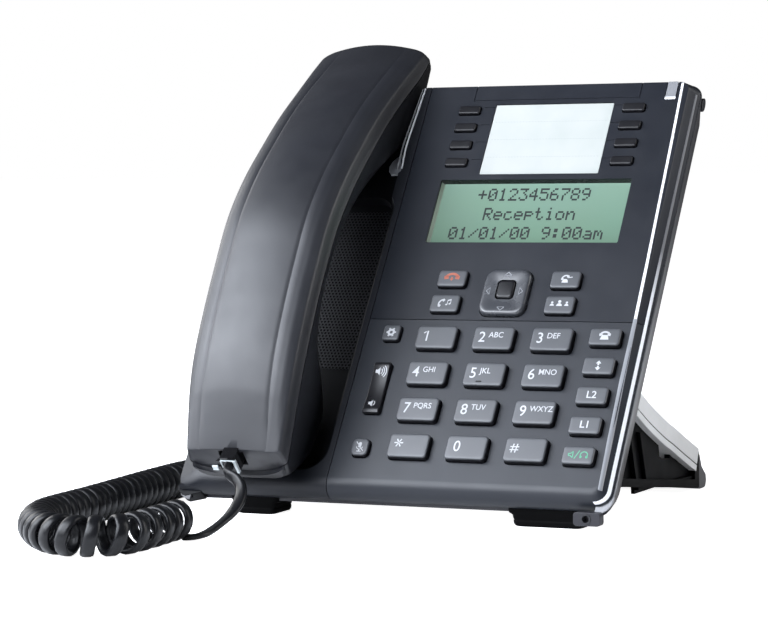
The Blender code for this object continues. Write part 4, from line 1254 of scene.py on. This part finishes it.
def make_label():
    left, right, low, high = LABEL
    sheet = rounded(left + 0.25, right - 0.25, low + 0.25, high - 0.25, 0.4, 4)
    loft("label_sheet", slab(sheet, -1.1, -0.3), PAPER, "base", "label_sheet", ["label_card"])
    verts, faces = [], []
    for k in range(3):
        v = high - (high - low) * (k + 1) / 4
        u = left + 1.6
        while u < right - 1.6:
            tile(verts, faces, u, v, 0.62, 0.14, -0.26)
            u += 1.3
    skin("label_lines", verts, faces, LINE_INK, "base", 0.02)


# Painted shade on the display window's walls.
BEZEL_SHADE = moulded("display_bezel_shade", (0.006, 0.008, 0.007), 0.25, 0.4, 0.002)
# Painted green reflection on the display window's left wall.
BEVEL_REFLECTION_GREEN = moulded("display_side_reflection", (0.22, 0.27, 0.21), 0.3, 0.4, 0.002)
LCD_INK = moulded("display_dots", (0.004, 0.008, 0.008), 0.5, 0.2, 0.001)
LINE_INK = moulded("dotted_line", (0.30, 0.33, 0.33), 0.5, 0.2, 0.001)
make_display()
make_label()


# ---------------------------------------------------------------- handset

RIDGE = [(3.0, 23.6), (10.0, 26.3), (20.0, 29.8), (40.0, 35.4), (60.0, 38.3), (80.0, 39.9), (100.0, 40.4),
         (120.0, 37.4), (140.0, 31.6), (160.0, 24.6), (180.0, 15.6), (190.0, 10.7), (200.0, 5.6),
         (208.0, 1.2)]
HALF = [(3.0, 20.8), (10.0, 21.4), (20.0, 22.0), (40.0, 22.9), (80.0, 23.1), (110.0, 23.5), (150.0, 23.5),
        (180.0, 23.7), (192.0, 24.2), (206.0, 24.4)]
CROWN = [(3.0, 1.2), (10.0, 2.4), (30.0, 4.6), (60.0, 5.6), (170.0, 5.6), (192.0, 4.0), (206.0, 2.6)]
SIDE = [(3.0, 5.6), (14.0, 6.0), (50.0, 6.2), (188.0, 6.2), (206.0, 3.4)]
UNDER = [(2.7, 11.2), (8.0, 5.6), (14.0, 0.6), (22.0, -3.6), (36.0, -4.0), (46.0, 4.0), (56.0, 17.0),
         (70.0, 24.0), (86.0, 26.0), (105.0, 25.0), (120.0, 20.5), (135.0, 13.0), (148.0, 5.0),
         (160.0, -3.0), (172.0, -9.5), (185.0, -11.0), (194.0, -10.2), (205.0, -7.5)]
EAR_END = 205.5
FACE_V = 4.6
RIM_V = 2.9
GROOVE = 14.5


def stations(first, last, count, corner, first_corner):
    rows = []
    for k in range(7):
        a = pi / 2 * k / 6
        rows.append((first + first_corner * (1 - cos(a)), first_corner * (1 - sin(a))))
    start = first + first_corner
    rows += [(start + (last - corner - start) * k / count, 0.0) for k in range(1, count + 1)]
    for k in range(1, 9):
        a = radians(88.0) * k / 8
        rows.append((last - corner + corner * sin(a), corner * (1 - cos(a))))
    return rows


def handset_loop(v, inset, section):
    full = smooth_at(HALF, v)
    half = full - inset
    bow = 2.6 * min(1.0, max(0.0, (v - 178.0) / 27.0)) ** 2
    lean = 0.27 * max(0.0, 1 - (v - FACE_V) / 22.0)
    loop = []
    for part, extra, w in section(v):
        u = part * half + extra
        run = bow * max(0.0, 1 - (u / full) ** 2)
        loop.append(panel(HANDSET_U + u, v + run + lean * max(0.0, w - 16.5), w))
    return loop


def seam_height(v, part):
    sag = 4.8 * min(1.0, max(0.0, 1 - (v - FACE_V) / 12.0))
    return smooth_at(RIDGE, v) - smooth_at(SIDE, v) - sag * (1 - abs(part) ** 3)


def seam_row(v, drop):
    parts = [-0.92, -0.8, -0.6, -0.4, -0.2, 0.0, 0.2, 0.4, 0.6, 0.8, 0.92]
    return [(part, 0.0, seam_height(v, part) - drop) for part in parts]


def crown_at(v, part):
    return smooth_at(RIDGE, v) + smooth_at(CROWN, v) * (1 - part * part)


def top_section(v):
    """Side wall, a rounded ridge, then the crowned top with a fine groove along each side."""
    ridge = smooth_at(RIDGE, v)
    seam = seam_height(v, 1.0)
    half = smooth_at(HALF, v)
    flank = [(0.0, seam), (0.12, seam + 0.25), (0.45, seam + (ridge - seam) * 0.5), (0.86, ridge - 1.0),
             (1.05, ridge - 0.45), (1.45, ridge - 0.02), (2.0, ridge + 0.28)]
    groove = GROOVE / half
    marks = [0.86, 0.80, 0.74]
    marks += [groove + 0.018, groove + 0.009, groove, groove - 0.009, groove - 0.018]
    marks += [0.55, 0.45, 0.35, 0.25, 0.12, 0.0]
    deep = {round(groove, 6): 0.20, round(groove + 0.009, 6): 0.14, round(groove - 0.009, 6): 0.10}
    fade = min(1.0, max(0.0, (v - 6.0) / 10.0)) * min(1.0, max(0.0, (202.0 - v) / 20.0))
    fade = max(fade, 0.35)
    row = [(1.0, -shift, w) for shift, w in flank]
    for part in marks + [-part for part in marks[-2::-1]]:
        row.append((part, 0.0, crown_at(v, part) - deep.get(round(abs(part), 6), 0.0) * fade))
    row += [(-1.0, shift, w) for shift, w in flank[::-1]]
    return row + seam_row(v, 0.0)


def bottom_section(v):
    seam = seam_height(v, 1.0) - 0.45
    under = smooth_at(UNDER, v)
    deep = seam - under
    side = [(0.0, 0.0), (0.25, 0.08), (0.6, 0.25), (1.0, 0.45), (1.5, 0.62), (2.2, 0.76), (3.2, 0.87),
            (4.6, 0.945), (6.4, 0.985)]
    row = [(1.0, -shift, seam - part * deep) for shift, part in side]
    row += [(part, 0.0, under) for part in (0.55, 0.3, 0.0, -0.3, -0.55)]
    row += [(-1.0, shift, seam - part * deep) for shift, part in side[::-1]]
    return row + seam_row(v, 0.45)


FACE_SPOT = (6.2, 22.4)


def face_point(side, along, up):
    """A point square to the handset's lower end face: across, inwards and up it."""
    v = FACE_SPOT[0] + 0.966 * along + 0.26 * up
    w = FACE_SPOT[1] - 0.26 * along + 0.966 * up
    return panel(HANDSET_U + side, v, w)


def face_block(wide, high, near, far):
    loops = []
    for side in (-wide / 2, wide / 2):
        loops.append([face_point(side, a, b) for a, b in
                      ((near, -high / 2), (far, -high / 2), (far, high / 2), (near, high / 2))])
    return loops


def latch_notch():
    """The slot beside the plug, where its latch swings."""
    near = [face_point(side, -6.0, up) for side, up in ((-6.8, -3.4), (-3.0, -3.4), (-3.0, 2.6), (-6.2, 2.2))]
    far = [point + (SLOPE * 0.966 - OUT * 0.26) * 13.0 for point in near]
    return [near, far]


def make_handset():
    along = stations(FACE_V, EAR_END, 96, 4.0, 1.2)
    top = raw("handset_top", [handset_loop(v, i, top_section) for v, i in along])
    plug_slot = ((-6.0, -5.0), (9.4, -5.0), (9.4, 2.0), (-6.0, 2.0))
    apply_boolean(top, [tool([[face_point(x, a, b) for a, b in plug_slot] for x in (-4.4, 4.3)]),
                        tool(latch_notch())])
    finish_shell(top, SHELL, ["handset_top_shell"], 0.0, 62.0, "handset")
    along = [(RIM_V, 2.2), (RIM_V + 0.3, 1.5)] + along
    low = raw("handset_lower", [handset_loop(v, i, bottom_section) for v, i in along])
    cuts = [tool(face_block(12.7, 11.3, 3.0, 11.5))]
    # the earpiece's rings of holes, and the microphone's one
    for ring, spots in ((0, 1), (1, 6), (2, 12)):
        for k in range(spots):
            a = 2 * pi * k / spots
            hole = circle(HANDSET_U + 2.9 * ring * cos(a), 180.5 + 2.9 * ring * sin(a), 0.7, 12)
            cuts.append(tool(slab(hole, -20.0, -9.0)))
    cuts.append(tool(slab(circle(HANDSET_U, 28.0, 1.0, 16), -12.0, -3.0)))
    apply_boolean(low, cuts)
    finish_shell(low, UNDER_SHELL_SHADE, ["handset_bottom_shell"], 0.0, 62.0, "handset")


make_handset()


def desk_loft(name, outline, x0, x1, mat, slot, nodes=(), bevel=0.0):
    """A plate from an outline of desk (y, z) points, between two x."""
    loops = [[desk(x0, y, z) for y, z in outline], [desk(x1, y, z) for y, z in outline]]
    return loft(name, loops, mat, "base", slot, nodes, angle=30.0, bevel=bevel)


BOW_TOP = [(64.8, 45.3), (76.0, 39.4), (87.2, 34.2), (95.2, 30.7), (103.3, 27.6), (117.0, 21.9), (130.4, 16.6)]
WEB_WINDOW = [(91.2, 22.6), (92.0, 17.9), (92.9, 17.1), (111.0, 14.9), (112.3, 15.3), (112.0, 16.4),
              (97.0, 21.6)]


def bow_line(drop, count=24):
    """The bow's upper line moved square to itself by a depth."""
    line = smooth_line([(0.0, y, z) for y, z in BOW_TOP], 66.0 / count)
    moved = []
    for i, p in enumerate(line):
        ahead = (line[min(i + 1, len(line) - 1)] - line[max(i - 1, 0)]).normalized()
        moved.append((p.y + ahead.z * drop, p.z - ahead.y * drop))
    return moved


def make_stand():
    """Silver covers over the stand's two bows, in two strips with a fine dark joint."""
    for side, sign in (("right", 1.0), ("left", -1.0)):
        inner, outer = 71.8 * sign, 80.25 * sign
        for name, top, bottom, x_out, mat in (
                ("stand_bow_%s" % side, -0.15, 6.3, outer, STAND_SILVER),
                ("stand_joint_%s" % side, 6.25, 6.75, outer - 0.35 * sign, JOINT_AND_SHADE_BLACK),
                ("stand_rim_%s" % side, 6.7, 9.35, outer, STAND_SILVER)):
            desk_loft(name, bow_line(top) + bow_line(bottom)[::-1], inner, x_out, mat, "stand_plastic", (),
                      0.25 if mat is STAND_SILVER else 0.0)
        outline = bow_line(9.0) + [(126.0, 6.0), (64.0, 6.5)]
        web = raw("stand_web_%s" % side, [[desk(x * sign, y, z) for y, z in outline] for x in (76.0, 77.4)])
        apply_boolean(web, [tool([[desk(x * sign, y, z) for y, z in WEB_WINDOW] for x in (74.0, 80.0)])])
        finish_shell(web, STAND_BLACK, [], 0.0)
        # the moulded ribs of the web, standing out of it
        for k, rib in enumerate((((66.5, 30.0), (69.0, 30.0), (76.6, 6.9), (74.2, 6.9)),
                                 ((64.0, 7.9), (128.0, 5.0), (128.0, 6.2), (64.0, 9.1)))):
            name = "stand_rib_%s_%d" % (side, k)
            desk_loft(name, rib, 76.9 * sign, 79.0 * sign, STAND_BLACK, "stand_plastic", (), 0.3)


def foot_pad(name, cad_name, left, right):
    """A soft pad under the chin: rounded ends, a slim groove round its middle."""
    loops = []
    profile = ((-1.6, 0.0), (-0.7, 0.25), (-0.15, 1.0), (0.0, 2.2), (-0.25, 2.5), (0.0, 2.8), (0.35, 4.4),
               (1.5, 5.2), (1.7, 7.0))
    for grow, z in profile:
        outline = rounded(left - grow, right + grow, 10.5 - grow * 0.5, 26.0 + grow * 0.3, 2.2, 6)
        loops.append([desk(x, y, z) for x, y in outline])
    loft(name, loops, RUBBER, "base", "foot_rubber", [cad_name], angle=40.0)


def make_corner_clip():
    """The small holed lug under the chin's right corner."""
    outline = about(82.3, 5.2, 10.6, 5.0, 1.3, 5)
    lug = raw("corner_lug", [[desk(x, y, z) for x, z in outline] for y in (1.4, 5.4)])
    hole = circle(82.0, 5.3, 1.35, 20)
    ring = circle(82.0, 5.3, 2.0, 20)
    apply_boolean(lug, [tool([[desk(x, y, z) for x, z in hole] for y in (0.0, 4.4)])])
    finish_shell(lug, BACK_HIGHLIGHT, [], 0.25)
    steps = ((ring, 1.42), (ring, 1.12), (hole, 1.12), (hole, 1.42))
    face = [[desk(x, y, z) for x, z in edge] for edge, y in steps]
    verts, faces = loft_data(face, False)
    faces += [(k, (k + 1) % 20, 60 + (k + 1) % 20, 60 + k) for k in range(20)]
    build("corner_lug_ring", verts, faces, SHELL, "base", "shell_plastic", angle=40.0)


def make_plug_details():
    """Painted highlights on the clear plug's edges and its latch tip, the latch arm, and a black block as
    painted shade in the notch.
    """
    def face_box(name, side0, side1, a0, a1, up0, up1, mat, slot="clear_plug", bevel=0.12):
        loops = []
        for side in (side0, side1):
            loops.append([face_point(side, a0, up0), face_point(side, a1, up0), face_point(side, a1, up1),
                          face_point(side, a0, up1)])
        loft(name, loops, mat, "handset", slot, (), angle=30.0, bevel=bevel)

    face_box("plug_edge_right", 2.1, 3.25, -5.5, -4.3, -3.9, 2.6, CLEAR_EDGE_HIGHLIGHT)
    face_box("plug_edge_top", -2.9, 2.2, -5.4, -4.7, 2.1, 2.6, CLEAR_EDGE_HIGHLIGHT)
    face_box("plug_edge_left", -3.2, -2.75, -5.4, -4.6, -3.8, 2.5, CLEAR_EDGE_HIGHLIGHT)
    face_box("plug_latch_tip", -7.6, -5.2, -5.6, -4.9, -2.6, -0.4, CLEAR_EDGE_HIGHLIGHT)
    face_box("plug_latch_arm", -5.5, -4.0, -5.2, 3.0, -2.4, -1.0, SMOKE)
    # A black block in the notch, as painted shade.
    face_box("notch_shade_block", -4.6, 4.6, 6.2, 9.2, -4.9, 2.9, JOINT_AND_SHADE_BLACK, "shell_plastic", 0.0)


RIM_SPOTS = [(150.6, -29.0), (155.8, -29.45), (161.3, -29.75), (171.9, -29.2), (182.0, -28.55), (189.3, -28.0)]


def make_cup_rim():
    """The cup's right wall, a double line of painted highlight along its rim, and the rounded pad that it ends
    in, also a painted highlight.
    """
    edge = HANDSET_U + 26.6
    heights = (190.0, 182.0, 174.0, 166.0, 160.0, 155.0)
    wall = [(edge, 190.0)] + [(smooth_at(RIM_SPOTS, v) - 1.2, v) for v in heights]
    wall += [(-29.0, 149.6), (edge, 146.6)]
    loft("cup_wall", slab(wall, -12.6, -0.75), CRADLE, "base", "shell_plastic", angle=30.0, bevel=0.25)
    for k, (shift, w, half) in enumerate(((0.0, -0.40, 0.36), (-1.3, -0.80, 0.20))):
        loops = []
        for n in range(15):
            v = 189.4 - 38.8 * n / 14
            u = smooth_at(RIM_SPOTS, v) + shift * (1.0 + 0.5 * n / 14)
            loops.append([panel(u - half, v, w - 0.6), panel(u - half * 0.5, v, w + 0.10),
                          panel(u + half * 0.5, v, w + 0.2), panel(u + half, v, w - 0.05),
                          panel(u + half * 0.8, v, w - 0.6)])
        loft("cup_rim_highlight_%d" % k, loops, WHITE_HIGHLIGHT if k == 0 else SILVER_HIGHLIGHT, "base", "shell_plastic", angle=50.0)
    loops = []
    pad = ((148.6, -34.0, -30.2, -1.9), (150.5, -35.6, -29.7, -2.2), (153.5, -36.3, -29.8, -2.9),
           (156.5, -36.0, -30.1, -3.9), (159.0, -35.0, -30.5, -4.9), (161.0, -33.6, -31.0, -5.8))
    for v, left, right, w in pad:
        loops.append([panel(left, v, w - 1.2), panel(left, v, w - 0.5), panel(left + 1.0, v, w),
                      panel(right - 0.8, v, w + 0.2), panel(right, v, w), panel(right, v, w - 1.2)])
    loft("cup_pad_highlight", loops, GREY_HIGHLIGHT, "base", "shell_plastic", angle=60.0)


# Painted highlight for the clear plug's edges.
CLEAR_EDGE_HIGHLIGHT = moulded("clear_edge_highlight", (0.50, 0.55, 0.56), 0.12, 0.5, 0.001, Specular_IOR_Level=0.9)
make_stand()
foot_pad("foot_pad_right", "front_foot_right", 49.0, 77.2)
foot_pad("foot_pad_left", "front_foot_left", -67.5, -49.9)
make_corner_clip()
make_plug_details()
make_cup_rim()
# A painted highlight along the lower edge of the message lamp's lens.
lamp_highlight_loops = slab(rounded(77.15, 81.55, 181.35, 182.5, 0.3, 3), 0.0, 0.2)
loft("lamp_lower_highlight", lamp_highlight_loops, WHITE_HIGHLIGHT, "base", "lamp_lens", angle=30.0)
tab = [panel(0, v, w) for v, w in circle(186.2, -11.4, 3.0, 20, 1.7)]
nub_loops = [[Vector((x, p.y, p.z)) for p in tab] for x in (84.0, 88.6, 89.2)]
loft("back_tab", nub_loops, BACK_HIGHLIGHT, "base", "shell_plastic", angle=30.0, bevel=0.3)


# ---------------------------------------------------------------- carried-over CAD nodes

CARRIED = {
    "back_cover": BACK_HIGHLIGHT, "main_board": BOARD, "key_mat": SILICONE, "message_lamp": LENS, "loudspeaker": BASKET,
    "hook_switch": GLOSS, "stand_frame": STAND_BLACK, "rear_foot": GREY_RUBBER, "earpiece": BASKET,
    "microphone": BASKET, "handset_plug": SMOKE, "base_plug": CLEAR,
}
for cad_name, cad_material in CARRIED.items():
    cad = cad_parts[cad_name]
    cad.data.materials.clear()
    cad.data.materials.append(cad_material)
    for polygon in cad.data.polygons:
        polygon.material_index = 0


# ---------------------------------------------------------------- stage and light

def make_stage():
    mesh = bpy.data.meshes.new("floor")
    size = 6.0
    corners = [(-size, -size, 0), (size, -size, 0), (size, size, 0), (-size, size, 0)]
    mesh.from_pydata(corners, [], [(0, 1, 2, 3)])
    floor = bpy.data.objects.new("floor", mesh)
    bpy.context.scene.collection.objects.link(floor)
    mat = new_material("floor_white", (0.92, 0.92, 0.93), 0.7)
    shader = shader_of(mat)
    shader.inputs["Emission Color"].default_value = (1.0, 1.0, 1.0, 1.0)
    shader.inputs["Specular IOR Level"].default_value = 0.0
    seen = node(mat, "ShaderNodeLightPath")
    glow = map_range(mat, 0.0, 1.0, 0.02, 0.95)
    wire(mat, seen, "Is Camera Ray", glow, "Value")
    wire(mat, glow, "Result", shader, "Emission Strength")
    mesh.materials.append(mat)

    world = bpy.context.scene.world or bpy.data.worlds.new("world")
    bpy.context.scene.world = world
    world.use_nodes = True
    background = world.node_tree.nodes["Background"]
    rays = node(world, "ShaderNodeLightPath")
    level = map_range(world, 0.0, 1.0, 0.07, 1.0)
    wire(world, rays, "Is Camera Ray", level, "Value")
    wire(world, level, "Result", background, "Strength")
    background.inputs["Color"].default_value = (1.0, 1.0, 1.0, 1.0)


def soft_light(name, spot, target, wide, high, watts, colour=(1.0, 1.0, 1.0)):
    data = bpy.data.lights.new(name, "AREA")
    data.shape = "RECTANGLE"
    data.size = wide
    data.size_y = high
    data.energy = watts
    data.color = colour
    light = bpy.data.objects.new(name, data)
    light.location = spot
    light.rotation_euler = (Vector(target) - Vector(spot)).to_track_quat("-Z", "Y").to_euler()
    bpy.context.scene.collection.objects.link(light)


make_stage()
soft_light("key", (-0.30, -0.50, 0.45), (0.0, -0.02, 0.04), 0.95, 0.44, 10.8, (0.90, 0.95, 1.04))
soft_light("low_front", (-0.34, -0.70, 0.22), (-0.05, -0.05, 0.07), 0.40, 0.16, 0.9, (0.92, 0.96, 1.03))
soft_light("flank", (-0.66, -0.28, 0.24), (-0.06, -0.02, 0.07), 0.50, 0.62, 3.9, (0.92, 0.96, 1.03))
soft_light("rim", (0.75, 0.25, 0.45), (0.08, 0.0, 0.08), 0.3, 0.9, 3.2)
soft_light("back_left", (-0.9, 0.3, 0.4), (0.0, 0.0, 0.08), 0.4, 0.5, 2.4)

bpy.context.scene.view_settings.view_transform = "Standard"
